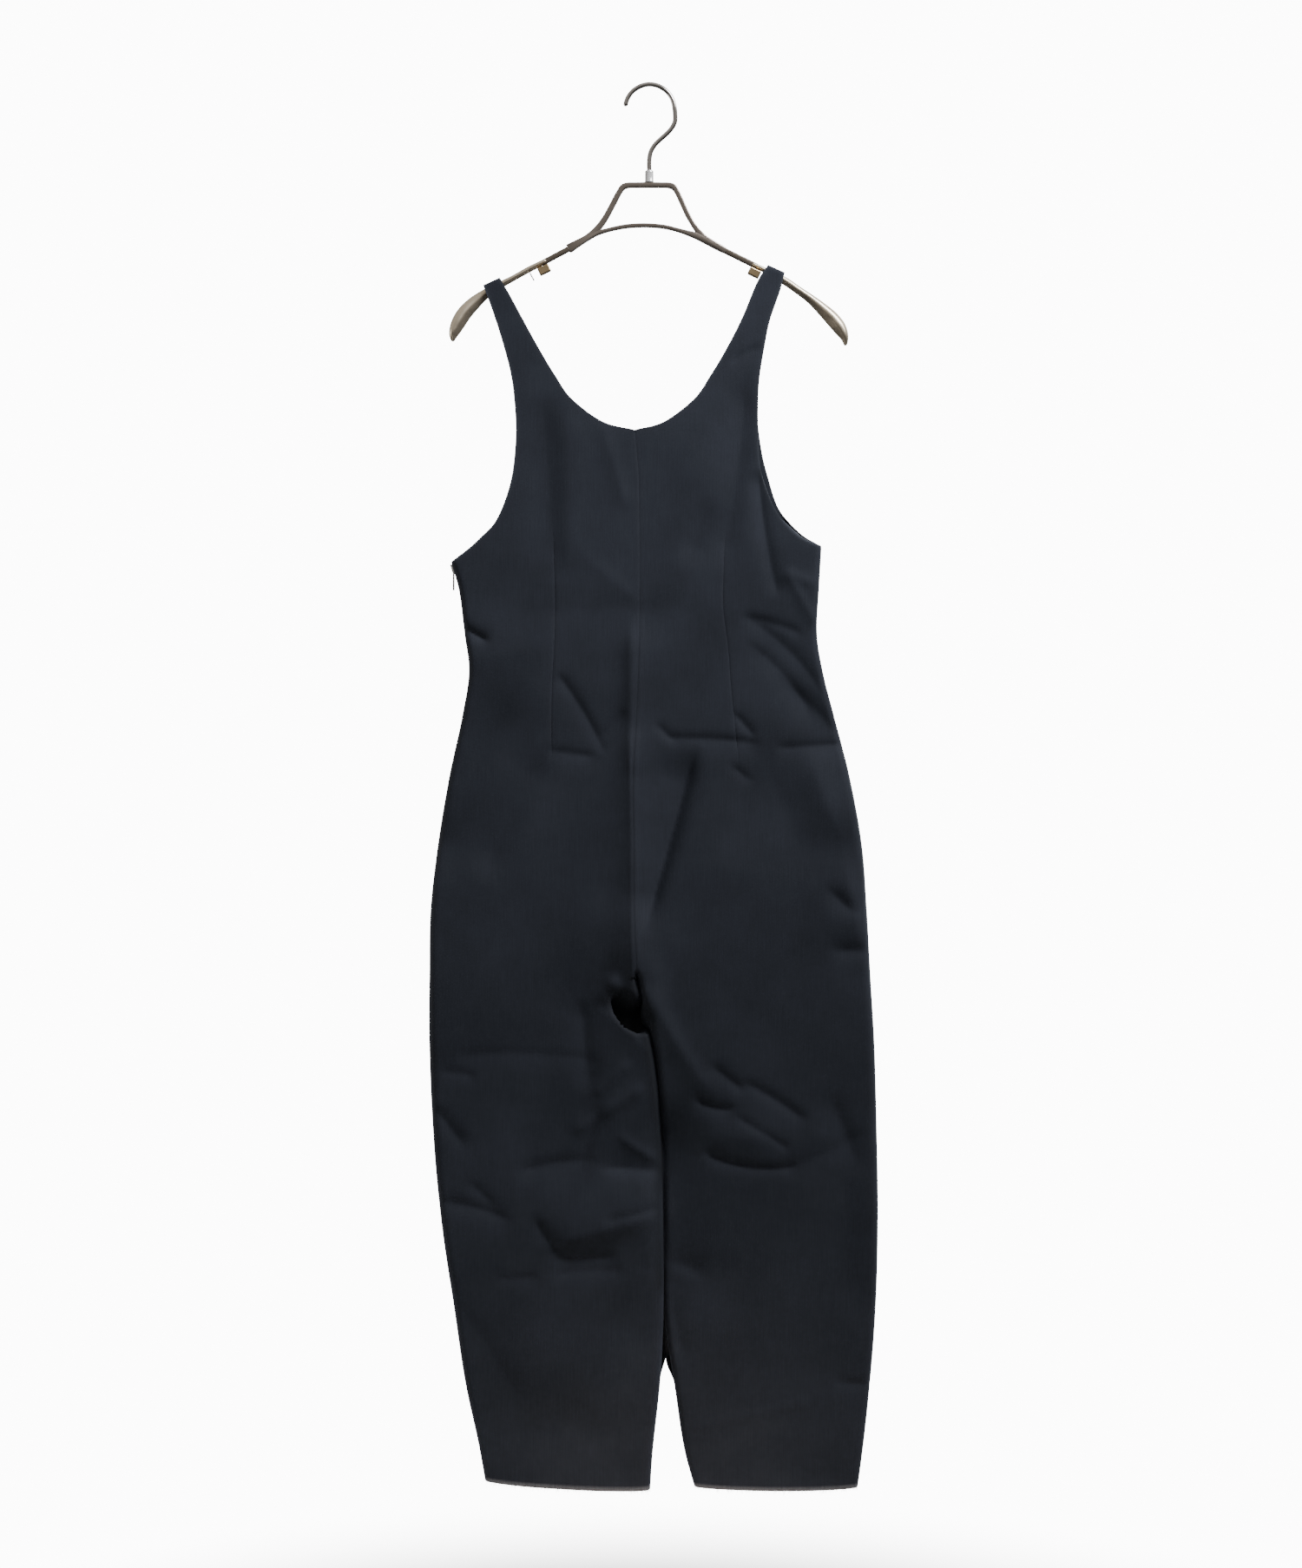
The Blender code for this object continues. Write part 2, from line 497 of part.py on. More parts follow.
def make_block(name, place, size, material, bevel):
    """Small block with rounded edges: place is x, drop and tilt in degrees, size is length, depth, height."""
    bpy.ops.mesh.primitive_cube_add(size=1.0)
    block = bpy.context.object
    mesh = block.data
    bpy.data.objects.remove(block, do_unlink=True)
    mesh.transform(Matrix.Diagonal((*[s * MM for s in size], 1.0)))
    mesh.name = name
    obj = add_object(name, mesh, material)
    x, drop, tilt = place
    obj.location = (x * MM, 0, -drop * MM)
    obj.rotation_euler = (0, -math.radians(tilt), 0)
    edge = obj.modifiers.new("edges", "BEVEL")
    edge.width = bevel * MM
    edge.segments = 2
    return obj


def make_hook():
    """Bent wire hook: an arc over the rail, then a neck that swings back to the middle of the hanger."""
    arc_drop = HOOK_RADIUS - HOOK_WIRE / 2
    angles = np.radians(np.linspace(174, 10, 17))
    line = [(HOOK_X + HOOK_RADIUS * math.cos(a), arc_drop - HOOK_RADIUS * math.sin(a)) for a in angles]
    line += rounded([line[-1]] + HOOK_NECK)[1:]
    curve = bpy.data.curves.new("hook_wire", "CURVE")
    curve.dimensions = "3D"
    curve.bevel_depth = HOOK_WIRE * MM / 2
    curve.bevel_resolution = 2
    curve.use_fill_caps = True
    spline = curve.splines.new("POLY")
    spline.points.add(len(line) - 1)
    for point, (x, drop) in zip(spline.points, line):
        point.co = (x * MM, 0, -drop * MM, 1)
    wire = bpy.data.objects.new("hook_wire", curve)
    garment.objects.link(wire)
    curve.materials.append(finish("chrome"))


def make_ferrule():
    """Turned collar in which the hook swivels: a profile round the vertical axis."""
    diameter, top, bottom = FERRULE
    radius, shoulder = diameter / 2, 1.2
    profile = [(0, top), (radius - shoulder, top), (radius, top + shoulder), (radius, bottom), (0, bottom)]
    turned = bmesh.new()
    verts = [turned.verts.new((r * MM, 0, -drop * MM)) for r, drop in profile]
    for one, two in zip(verts, verts[1:]):
        turned.edges.new((one, two))
    mesh = bpy.data.meshes.new("hook_ferrule")
    turned.to_mesh(mesh)
    turned.free()
    ferrule = add_object("hook_ferrule", mesh, "chrome")
    screw = ferrule.modifiers.new("turned", "SCREW")
    screw.steps = screw.render_steps = 20
    screw.use_merge_vertices = True
    screw.merge_threshold = 0.00001


def make_frame():
    """Frame of the hanger: a plate with a window, with its ends shaped to hold the sliding arms."""
    outline = [FRAME_OUTSIDE["right"], FRAME_OUTSIDE["left"]]
    window = [FRAME_WINDOW["right"], FRAME_WINDOW["left"]]
    loops = [[*right, *reversed(left)] for right, left in (outline, window)]
    make_outline("hanger_frame", loops, FRAME_DEPTH, "bronze_plastic")


def make_arm(side):
    """Flat bar that slides in the frame, from the frame's end to the shoulder end."""
    (x0, drop0), (x1, drop1) = ARMS[side]
    length = math.hypot(x1 - x0, drop1 - drop0)
    tilt = math.degrees(math.atan2(drop0 - drop1, x1 - x0))
    make_block(f"hanger_arm_{side}", ((x0 + x1) / 2, (drop0 + drop1) / 2, tilt),
               (length, ARM_SIZE[1], ARM_SIZE[0]), "bronze_plastic", 0.8)


def make_shoulder_end(side, around=12):
    """Shoulder end of the hanger: oval rings square to its bent line, closed at both ends."""
    line = shoulder_line(side)
    heading = np.gradient(line[:, :2], axis=0)
    heading /= np.hypot(*heading.T)[:, None]
    rings = []
    for (x, drop, height, half_depth), (dx, ddrop) in zip(line, heading):
        turn = np.arange(around) * 2 * math.pi / around
        up, out = height / 2 * np.cos(turn), half_depth * np.sin(turn)
        rings.append([(x + ddrop * u, y, -(drop - dx * u)) for u, y in zip(up, out)])
    make_loft(f"hanger_end_{side}", rings, "bronze_plastic")


def seam_point(drop):
    """Point of the right side seam at a drop, with the seam's downward and outward directions."""
    rows = section_rows("right", "front")
    lower = rows["level"] >= LEVELS["underarm"]
    near = np.array([drop - 1, drop, drop + 1])
    x = np.interp(near, rows["out_drop"][lower], rows["out_x"][lower])
    down = np.array([x[2] - x[0], 2.0])
    down /= np.hypot(*down)
    return np.array([x[1], drop]), down, np.array([-down[1], down[0]])


def make_zip_tape():
    """Zip tape inside the right side seam, a flat band on the seam's own line moved inwards."""
    half_width, thickness, end = TAPE
    drops = section_rows("right", "front")["out_drop"]
    drops = drops[(drops > SLIDER_DROP + PIVOT_REACH) & (drops < end)]
    sheet = bmesh.new()
    bmesh.ops.create_grid(sheet, x_segments=1, y_segments=len(drops) - 1, size=1.0)
    sheet.verts.ensure_lookup_table()
    for k, vert in enumerate(sheet.verts):
        point, _, outward = seam_point(drops[k // 2])
        x, drop = point - outward * (WALL + TAPE_GAP)
        vert.co = (x * MM, half_width * MM * (k % 2 * 2 - 1), -drop * MM)
    face = sheet.faces[:][0]
    face.normal_update()
    if face.normal.x > 0:
        bmesh.ops.reverse_faces(sheet, faces=sheet.faces)
    mesh = bpy.data.meshes.new("zip_tape")
    sheet.to_mesh(mesh)
    sheet.free()
    band = add_object("zip_tape", mesh, "navy_cloth").modifiers.new("thickness", "SOLIDIFY")
    band.thickness = thickness * MM
    band.offset = -1.0


def make_slider_and_pull():
    """Slider at the top of the zip, with two lugs that hold the pull tab; the tab hangs straight down.

    The pull's origin is on its hinge's axis, which runs front to back.
    """
    half_thick, half_width, length = SLIDER_BODY
    lug_width, lug_length = SLIDER_LUG
    seam, down, outward = seam_point(SLIDER_DROP)
    middle = seam + outward * (SEAM_GAP + half_thick)
    top, end = -length / 2, length / 2
    fork = [(-half_width, top), (half_width, top), (half_width, end + lug_length),
            (half_width - lug_width, end + lug_length), (half_width - lug_width, end),
            (lug_width - half_width, end), (lug_width - half_width, end + lug_length),
            (-half_width, end + lug_length)]
    stand = Matrix(((0, 0, outward[0], middle[0] * MM), (1, 0, 0, 0), (0, 0, 0, 0), (0, 0, 0, 1)))
    stand[0][1], stand[2][1], stand[2][2] = -down[0], down[1], -outward[1]
    stand[2][3] = -middle[1] * MM
    make_outline("zip_slider", [fork], 2 * half_thick, "zip_metal", stand)

    thickness, half, reach = PULL
    pivot = middle + down * (end + PIVOT_REACH)
    bow = np.radians(np.linspace(180, 0, 7))
    tab = [(thickness / 2 * math.cos(a), -thickness / 2 * math.sin(a)) for a in bow]
    tab += [(thickness / 2, reach), (-thickness / 2, reach)]
    pull = make_outline("zip_pull", [tab], 2 * half, "zip_metal")
    pull.location = (pivot[0] * MM, 0, -pivot[1] * MM)


for old in list(bpy.data.objects):
    bpy.data.objects.remove(old, do_unlink=True)
garment = bpy.data.collections.new("dungarees_on_hanger")
bpy.context.scene.collection.children.link(garment)

for side in ("right", "left"):
    for face in ("front", "back"):
        make_panel(side, face)
    make_arm(side)
    make_shoulder_end(side)
    clip_place = under_shoulder(side, CLIP_X[side], CLIP_SIZE[2])
    make_block(f"hanger_clip_{side}", clip_place, CLIP_SIZE, "gold_plastic", 1.0)
notch_place = under_shoulder("right", NOTCH_X, NOTCH_SIZE[2])
make_block("hanger_notch", notch_place, NOTCH_SIZE, "bronze_plastic", 0.5)
make_hook()
make_ferrule()
make_frame()
make_zip_tape()
make_slider_and_pull()
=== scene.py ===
"""Sleeveless dungarees in heavy navy cloth, hanging on an adjustable hanger with a chrome hook.

Metres, +Z up, the front towards -Y and the wearer's left towards +X.  The origin is inside the top of the
hook.  The tables are in millimetres; a "drop" is the distance below the origin, so Z = -drop.
"""
import math

import bpy
import numpy as np
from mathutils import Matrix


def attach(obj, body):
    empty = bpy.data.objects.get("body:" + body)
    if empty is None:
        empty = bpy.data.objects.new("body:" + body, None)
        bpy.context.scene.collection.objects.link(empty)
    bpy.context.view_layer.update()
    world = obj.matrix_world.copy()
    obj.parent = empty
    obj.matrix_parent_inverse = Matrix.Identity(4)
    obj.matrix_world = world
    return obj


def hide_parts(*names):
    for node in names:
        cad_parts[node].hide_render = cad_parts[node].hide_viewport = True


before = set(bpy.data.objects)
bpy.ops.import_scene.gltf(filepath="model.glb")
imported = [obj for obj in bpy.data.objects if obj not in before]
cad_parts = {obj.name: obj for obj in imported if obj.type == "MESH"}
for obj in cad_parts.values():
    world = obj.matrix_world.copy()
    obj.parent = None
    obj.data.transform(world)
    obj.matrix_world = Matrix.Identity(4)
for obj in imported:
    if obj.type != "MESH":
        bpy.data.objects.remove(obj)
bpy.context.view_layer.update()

# ---------------------------------------- the view
# The garment hangs free in front of white, seen square from the front and a little below its middle.
VIEW_CENTRE = (0.0019, -0.7648)     # X and Z at the middle of the picture
VIEW_HEIGHT = 1.7157                # height of the picture at the front of the cloth
VIEW_DISTANCE = 3.6
CLOTH_FRONT = -0.009
SENSOR = 36.0

camera_data = bpy.data.cameras.new("front_view")
camera_data.sensor_fit = "VERTICAL"
camera_data.sensor_height = SENSOR
camera_data.lens = SENSOR * VIEW_DISTANCE / VIEW_HEIGHT
camera = bpy.data.objects.new("front_view", camera_data)
camera.location = (VIEW_CENTRE[0], CLOTH_FRONT - VIEW_DISTANCE, VIEW_CENTRE[1])
camera.rotation_euler = (math.pi / 2, 0, 0)
bpy.context.scene.collection.objects.link(camera)
bpy.context.scene.camera = camera

# ---------------------------------------- hook
# A bent steel wire, chromed: an arc over the rail, a mouth at the wearer's right, and a neck that swings back
# to the middle, where it turns in the ferrule.
TO_METRES = (0.001, 0.001, -0.001)      # from (x, y, drop) in millimetres
HOOK_RADIUS = 27.0
HOOK_WIRE = 5.2
HOOK_X = 0.5
HOOK_ARC = (174, 10)        # degrees at the tip and at the neck
WIRE_STEP = 1.6
TIP_ROUNDING = 2.2
HOOK_NECK = [(28.4, 30), (28.2, 38), (24.6, 45.4), (18.6, 52), (11.6, 58.2), (5.6, 64.4), (1.6, 71.6),
             (0.1, 80), (0, 91.4)]


def smooth(knots, values, corners, at):
    """Cubic curve through the values, which may turn sharply at the knots numbered in corners.

    The slope at a knot is that of the parabola through it and its two neighbours, or of one chord at a corner
    or an end; between two knots the curve is the Hermite cubic with those slopes.
    """
    knots, values, at = np.asarray(knots, float), np.asarray(values, float), np.asarray(at, float)
    step = np.diff(knots)
    chord = np.diff(values) / step
    slope_in = np.concatenate([chord[:1], chord])
    slope_out = np.concatenate([chord, chord[-1:]])
    inner = [k for k in range(1, len(knots) - 1) if k not in corners]
    for k in inner:
        both = step[k - 1] + step[k]
        slope_in[k] = slope_out[k] = (chord[k - 1] * step[k] + chord[k] * step[k - 1]) / both
    k = np.clip(np.searchsorted(knots, at, side="right") - 1, 0, len(step) - 1)
    h = step[k]
    t = (at - knots[k]) / h
    return ((2 * t**3 - 3 * t**2 + 1) * values[k] + (t**3 - 2 * t**2 + t) * h * slope_out[k]
            + (3 * t**2 - 2 * t**3) * values[k + 1] + (t**3 - t**2) * h * slope_in[k + 1])


def mesh_piece(name, points, faces):
    """Mesh object with the given faces on points in millimetres (x, y, drop)."""
    mesh = bpy.data.meshes.new(name)
    mesh.from_pydata((points.reshape(-1, 3) * TO_METRES).tolist(), [], faces)
    piece = bpy.data.objects.new(name, mesh)
    bpy.context.scene.collection.objects.link(piece)
    return piece


def surface(name, grid, round_across=False, round_along=False, caps=False):
    """Smooth mesh object on a grid of points: square faces between neighbours.

    round_across joins the last column to the first, round_along the last row to the first; caps closes the
    two ends of a tube with one face each.  Faces point away from the tube's middle or, on an open sheet,
    along the sheet's own order of rows and columns.
    """
    rows, columns = grid.shape[:2]
    number = np.arange(rows * columns).reshape(rows, columns)
    if round_across:
        number = np.concatenate([number, number[:, :1]], axis=1)
    if round_along:
        number = np.concatenate([number, number[:1]], axis=0)
    quads = np.stack([number[:-1, :-1], number[:-1, 1:], number[1:, 1:], number[1:, :-1]], axis=-1)
    faces = quads.reshape(-1, 4).tolist()
    if caps:
        faces += [number[0, :columns][::-1].tolist(), number[-1, :columns].tolist()]
    piece = mesh_piece(name, grid, faces)
    piece.data.shade_smooth()
    return piece


def bar(name, line, across, deep, section):
    """Bar along a line of (x, drop), its section of points in -1 to 1 set square to the line.

    point = line + normal * across * section_x, with y = deep * section_y, where the normal is the line's own
    heading turned a quarter to the outside.
    """
    heading = np.gradient(line, axis=0)
    heading /= np.hypot(*heading.T)[:, None]
    normal = np.stack([heading[:, 1], -heading[:, 0]], axis=1)
    side = np.asarray(across)[:, None] * section[None, :, 0]
    x = line[:, :1] + normal[:, :1] * side
    drop = line[:, 1:] + normal[:, 1:] * side
    y = np.asarray(deep)[:, None] * section[None, :, 1]
    return surface(name, np.stack([x, y, drop], axis=-1), round_across=True, caps=True)


def circle(count):
    """Points of a circle of radius 1, as (cosine, sine)."""
    turn = np.arange(count) * 2 * math.pi / count
    return np.stack([np.cos(turn), np.sin(turn)], axis=1)


def run_along(table):
    """Distance along a line of (x, drop, ...) from its first point to each of them."""
    return np.concatenate([[0], np.cumsum(np.hypot(*np.diff(table[:, :2], axis=0).T))])


def even_run(points, spacing):
    """Points a spacing apart on a smooth curve through the given ones."""
    table = np.array(points, float)
    run = run_along(table)
    at = np.linspace(0, run[-1], int(run[-1] / spacing) + 2)
    return np.stack([smooth(run, table[:, k], (), at) for k in range(table.shape[1])], axis=1)


arc = np.radians(np.linspace(*HOOK_ARC, 12))
arc_drop = HOOK_RADIUS - HOOK_WIRE / 2
wire_points = [(HOOK_X + HOOK_RADIUS * math.cos(a), arc_drop - HOOK_RADIUS * math.sin(a)) for a in arc]
wire_line = even_run(wire_points + HOOK_NECK, WIRE_STEP)
from_tip = np.arange(len(wire_line)) * WIRE_STEP
wire_radius = HOOK_WIRE / 2 * np.sqrt(1 - np.clip(1 - (from_tip + 0.15) / TIP_ROUNDING, 0, 1) ** 2)
hook = bar("chrome_hook", wire_line, wire_radius, wire_radius, circle(20))


def new_group(name, inputs, outputs):
    """Shader node group with named inputs and outputs, each a Float or a Vector."""
    group = bpy.data.node_groups.new(name, "ShaderNodeTree")
    for way, sockets in (("INPUT", inputs), ("OUTPUT", outputs)):
        for socket, kind in sockets.items():
            group.interface.new_socket(name=socket, in_out=way, socket_type="NodeSocket" + kind)
    return group, group.nodes.new("NodeGroupInput"), group.nodes.new("NodeGroupOutput")


def add_node(tree, kind, links=None, **settings):
    """Shader node with settings; links maps an input's name or number to a value or another node's output."""
    node = tree.nodes.new("ShaderNode" + kind)
    for key, value in settings.items():
        setattr(node, key, value)
    for key, value in (links or {}).items():
        if isinstance(value, bpy.types.NodeSocket):
            tree.links.new(value, node.inputs[key])
        else:
            node.inputs[key].default_value = value
    return node


def new_material(name):
    """Material, its node tree and its Principled shader."""
    material = bpy.data.materials.new(name)
    material.use_nodes = True
    return material, material.node_tree, material.node_tree.nodes["Principled BSDF"]


# Handling marks that every hard piece of the hanger shares: a soft cloudiness and fine long scratches.
handling, handling_in, handling_out = new_group(
    "handling_marks", {"Place": "Vector", "Low": "Float", "High": "Float"},
    {"Roughness": "Float", "Height": "Float"})
cloud = add_node(handling, "TexNoise", {"Vector": handling_in.outputs["Place"], "Scale": 90.0, "Detail": 4.0})
stretch = add_node(handling, "Mapping", {
    "Vector": handling_in.outputs["Place"], "Scale": (240.0, 900.0, 3400.0)})
scratch = add_node(handling, "TexNoise", {"Vector": stretch.outputs[0], "Scale": 1.0, "Detail": 3.0})
mixed = add_node(handling, "Math", {0: cloud.outputs["Fac"], 1: scratch.outputs["Fac"]}, operation="MULTIPLY")
spread = add_node(handling, "MapRange", {
    "Value": mixed.outputs[0], "From Min": 0.12, "From Max": 0.45, "To Min": handling_in.outputs["Low"],
    "To Max": handling_in.outputs["High"]})
handling.links.new(spread.outputs[0], handling_out.inputs["Roughness"])
handling.links.new(scratch.outputs["Fac"], handling_out.inputs["Height"])


def hard_finish(name, colour, metallic, roughness, bump):
    """Metal or metal-look plastic: one base colour, roughness between two values, and fine scratches."""
    material, tree, shader = new_material(name)
    shader.inputs["Base Color"].default_value = (*colour, 1.0)
    shader.inputs["Metallic"].default_value = metallic
    place = add_node(tree, "TexCoord")
    marks = add_node(tree, "Group", node_tree=handling)
    tree.links.new(place.outputs["Object"], marks.inputs["Place"])
    marks.inputs["Low"].default_value, marks.inputs["High"].default_value = roughness
    tree.links.new(marks.outputs["Roughness"], shader.inputs["Roughness"])
    relief = add_node(tree, "Bump", {"Height": marks.outputs["Height"], "Strength": bump, "Distance": 0.0002})
    tree.links.new(relief.outputs[0], shader.inputs["Normal"])
    return material


chrome = hard_finish("polished_chrome", (0.50, 0.47, 0.44), 1.0, (0.08, 0.22), 0.04)
hook.data.materials.append(chrome)
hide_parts("hook_wire")
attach(hook, "garment")

# ---------------------------------------- ferrule
# The turned steel collar in which the hook swivels, chromed like it, with a fine groove near its top and a
# pressed foot on the frame.
FERRULE_PROFILE = [(0.05, 91.8), (3.3, 91.8), (4.3, 92.3), (4.7, 93.4), (4.7, 94.6), (4.35, 94.9),
                   (4.35, 95.3), (4.7, 95.6), (4.7, 103.0), (4.9, 103.6), (4.9, 104.7), (0.05, 104.7)]


def turned(name, profile, around):
    """Turned piece: its profile of (radius, drop) carried round the vertical axis."""
    radius, drop = np.array(profile, float).T
    ring = circle(around)
    grid = np.stack([radius[:, None] * ring[:, 0], radius[:, None] * ring[:, 1],
                     np.repeat(drop[:, None], around, axis=1)], axis=-1)
    return surface(name, grid, round_across=True, caps=True)


ferrule = turned("hook_collar", FERRULE_PROFILE, 40)
ferrule.data.set_sharp_from_angle(angle=math.radians(40))
# A near-white, half-matt copy of the hook's chrome, whose brightness is painted reflection.
chrome_painted_reflection = hard_finish("chrome_painted_reflection", (0.90, 0.88, 0.85), 0.35, (0.10, 0.20), 0.03)
ferrule.data.materials.append(chrome_painted_reflection)
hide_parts("hook_ferrule")
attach(ferrule, "garment")

# ---------------------------------------- frame
# The middle of the hanger, moulded in plastic with a bronze metal look: a handle-shaped ring whose lower ends
# run out into sockets for the sliding arms.
FRAME_DEPTH = 8.0
FRAME_EDGE = 1.3        # radius of its rounded edges
# Across the ring at one place: x and drop of its outer edge, then of its inner edge.
FRAME_RING = [
    (0, 105.0, 0, 110.6), (-14, 105.2, -12, 110.7), (-24, 105.4, -21, 110.8), (-30, 107.2, -26.6, 112.4),
    (-33.6, 111.2, -30.2, 117.2), (-39, 120.4, -34.8, 126.0), (-46.2, 134.2, -41.8, 139.4),
    (-53.6, 146.4, -47.4, 149.0), (-62.4, 156.6, -51.4, 154.4), (-73, 164.8, -53.2, 156.6),
    (-89.6, 173.0, -53.8, 157.4), (-90.2, 175.0, -53.6, 157.3), (-86.6, 181.6, -52.6, 157.0),
    (-80.8, 178.0, -51.2, 156.6), (-68, 169.6, -48.4, 156.0), (-55.4, 162.6, -45.0, 155.2),
    (-38.8, 157.8, -36.0, 153.0), (-22.4, 155.0, -21.4, 150.6), (-2, 154.2, -2, 150.0),
    (17.4, 156.0, 16.6, 151.7), (35.6, 160.8, 33.6, 155.8), (52, 167.6, 42.6, 158.0),
    (66, 174.8, 46.4, 158.9), (82.4, 182.6, 49.6, 159.6), (84.6, 177.2, 51.4, 159.9),
    (70.2, 168.6, 50.8, 159.3),
    (59.4, 160.6, 49.2, 157.2), (50.2, 149.6, 45.6, 151.6), (43.0, 136.4, 39.6, 141.4),
    (36.6, 122.0, 33.4, 128.0), (31.2, 111.2, 28.4, 117.2), (28, 107.2, 24.6, 112.4), (22, 105.4, 19, 110.8),
    (12, 105.2, 10, 110.7)]


def rounded_ring(name, ring, depth, edge, steps=4):
    """Ring of rounded rectangular section between an outer and an inner outline.

    At each place the section spans from the inner to the outer point and from -depth/2 to depth/2, with its
    four corners turned on quarter circles of the edge radius.
    """
    table = np.array(ring + ring[:1], float)
    run = np.arange(len(table), dtype=float)
    at = np.linspace(0, run[-1], 6 * len(ring), endpoint=False)
    wrapped = np.concatenate([table[-3:-1], table, table[1:3]])
    knots = np.concatenate([[-2.0, -1.0], run, [run[-1] + 1, run[-1] + 2]])
    x0, d0, x1, d1 = (smooth(knots, wrapped[:, k], (), at) for k in range(4))
    length = np.hypot(x0 - x1, d0 - d1)
    radius = np.minimum(edge, length * 0.45)
    grid = []
    for corner, (outer, front) in enumerate(((1, -1), (1, 1), (0, 1), (0, -1))):
        for angle in np.radians(np.linspace(0, 90, steps)) + corner * math.pi / 2:
            out, deep = math.sin(angle), -math.cos(angle)
            if outer:
                along = length - radius + radius * out
            else:
                along = radius + radius * out
            share = along / length
            y = front * (depth / 2 - radius) + radius * deep
            grid.append(np.stack([x1 + (x0 - x1) * share, y, d1 + (d0 - d1) * share], axis=-1))
    return surface(name, np.stack(grid, axis=1), round_across=True, round_along=True)


bronze = hard_finish("bronze_metal_look", (0.30, 0.255, 0.215), 0.85, (0.16, 0.34), 0.10)
frame_piece = rounded_ring("hanger_ring", FRAME_RING, FRAME_DEPTH, FRAME_EDGE)
frame_piece.data.materials.append(bronze)
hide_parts("hanger_frame")
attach(frame_piece, "garment")

# ---------------------------------------- arms
# Two flat bars of the same bronze look slide in the frame's sockets.  Small blocks of gold-look plastic lock
# them, and a thin rib under the right shoulder end keeps a strap from slipping inwards.
# Ends of each arm, x and drop: inside the frame's socket and inside the shoulder end.
ARM_ENDS = {"right": ((-84.0, 175.6), (-118.0, 193.7)), "left": ((80.0, 178.4), (118.0, 197.2))}
ARM_HALF = (2.9, 3.3)
# Half section of the flat bar, with its edges rounded: across and deep, as shares of its half sizes.
ARM_SECTION = [(1.0, 0.0), (1.0, 0.70), (0.92, 0.92), (0.70, 1.0), (0.0, 1.0), (-0.70, 1.0), (-0.92, 0.92),
               (-1.0, 0.70), (-1.0, 0.0)]
dark_bronze = hard_finish("dark_bronze", (0.20, 0.165, 0.13), 0.85, (0.22, 0.42), 0.10)
gold = hard_finish("gold_metal_look", (0.42, 0.31, 0.17), 0.80, (0.20, 0.40), 0.08)
for side, ends in ARM_ENDS.items():
    share = np.linspace(0, 1, 12)[:, None]
    arm_line = np.array(ends[0]) * (1 - share) + np.array(ends[1]) * share
    half = np.array(ARM_SECTION)
    arm_section = np.concatenate([half, half[-2:0:-1] * (1, -1)])
    across, deep = (np.full(12, size) for size in ARM_HALF)
    arm = bar(f"sliding_arm_{side}", arm_line, across, deep, arm_section)
    arm.data.materials.append(dark_bronze)
    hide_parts(f"hanger_arm_{side}")
    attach(arm, "garment")
HANGER_FINISHES = {"hanger_notch": chrome, "hanger_clip_right": gold, "hanger_clip_left": gold}
for node_name, finish in HANGER_FINISHES.items():
    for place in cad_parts[node_name].material_slots:
        place.material = finish

# ---------------------------------------- shoulder ends
# Broad curved ends, moulded in a champagne metal look: a full upper face that rounds over to the front and
# the back, and an undercut lower face that stays dark.
END_STEP = 2.4
# x, drop, height, half depth
SHOULDER_ENDS = {
    "right": [(-112.6, 191.0, 6.2, 4.6), (-130, 199.6, 7.0, 5.0), (-150, 210.6, 7.0, 5.4),
              (-166, 219.2, 8.6, 5.6), (-180, 227.8, 11.6, 5.8), (-192, 237.6, 15.6, 7.0),
              (-203, 249.4, 17.4, 9.5), (-211, 263.0, 15.6, 10.5), (-215, 273.4, 9.6, 8.5),
              (-215.6, 279.6, 3.0, 3.0)],
    "left": [(112.6, 194.6, 5.6, 4.6), (131, 203.6, 6.6, 5.2), (148, 212.9, 9.2, 5.6),
             (163, 223.2, 9.4, 6.0), (178, 234.0, 11.0, 7.0), (190, 244.6, 14.4, 8.5),
             (201, 255.4, 16.8, 10.0), (209, 265.6, 15.6, 10.5), (214.4, 276.4, 9.0, 8.0),
             (215.2, 284.2, 3.0, 3.0)],
}
champagne = hard_finish("champagne_metal_look", (0.70, 0.60, 0.45), 0.90, (0.30, 0.46), 0.06)


def shoulder_line(side):
    """Rows of x, drop, height and half depth of a shoulder end, at each table row and half-way between."""
    table = np.array(SHOULDER_ENDS[side], float)
    run = run_along(table)
    at = np.unique(np.concatenate([run, (run[1:] + run[:-1]) / 2]))
    return np.stack([smooth(run, table[:, k], (), at) for k in range(4)], axis=1)


# Half section from the top round the front to the bottom: height share, depth share.
END_SECTION = [(1.0, 0.0), (0.96, 0.36), (0.82, 0.68), (0.58, 0.88), (0.30, 0.985), (0.04, 0.99),
               (-0.14, 0.93), (-0.30, 0.80), (-0.54, 0.56), (-0.80, 0.28), (-0.97, 0.0)]
for side, hand in (("right", -1), ("left", 1)):
    row = even_run(SHOULDER_ENDS[side], END_STEP)
    half = np.array(END_SECTION)
    section = np.concatenate([half, half[-2:0:-1] * (1, -1)])
    section[:, 0] *= hand
    end = bar(f"shoulder_end_{side}", row[:, :2], row[:, 2] / 2, row[:, 3], section)
    rounder = end.modifiers.new("round", "SUBSURF")
    rounder.levels = rounder.render_levels = 1
    end.data.materials.append(champagne)
    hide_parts(f"hanger_end_{side}")
    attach(end, "garment")

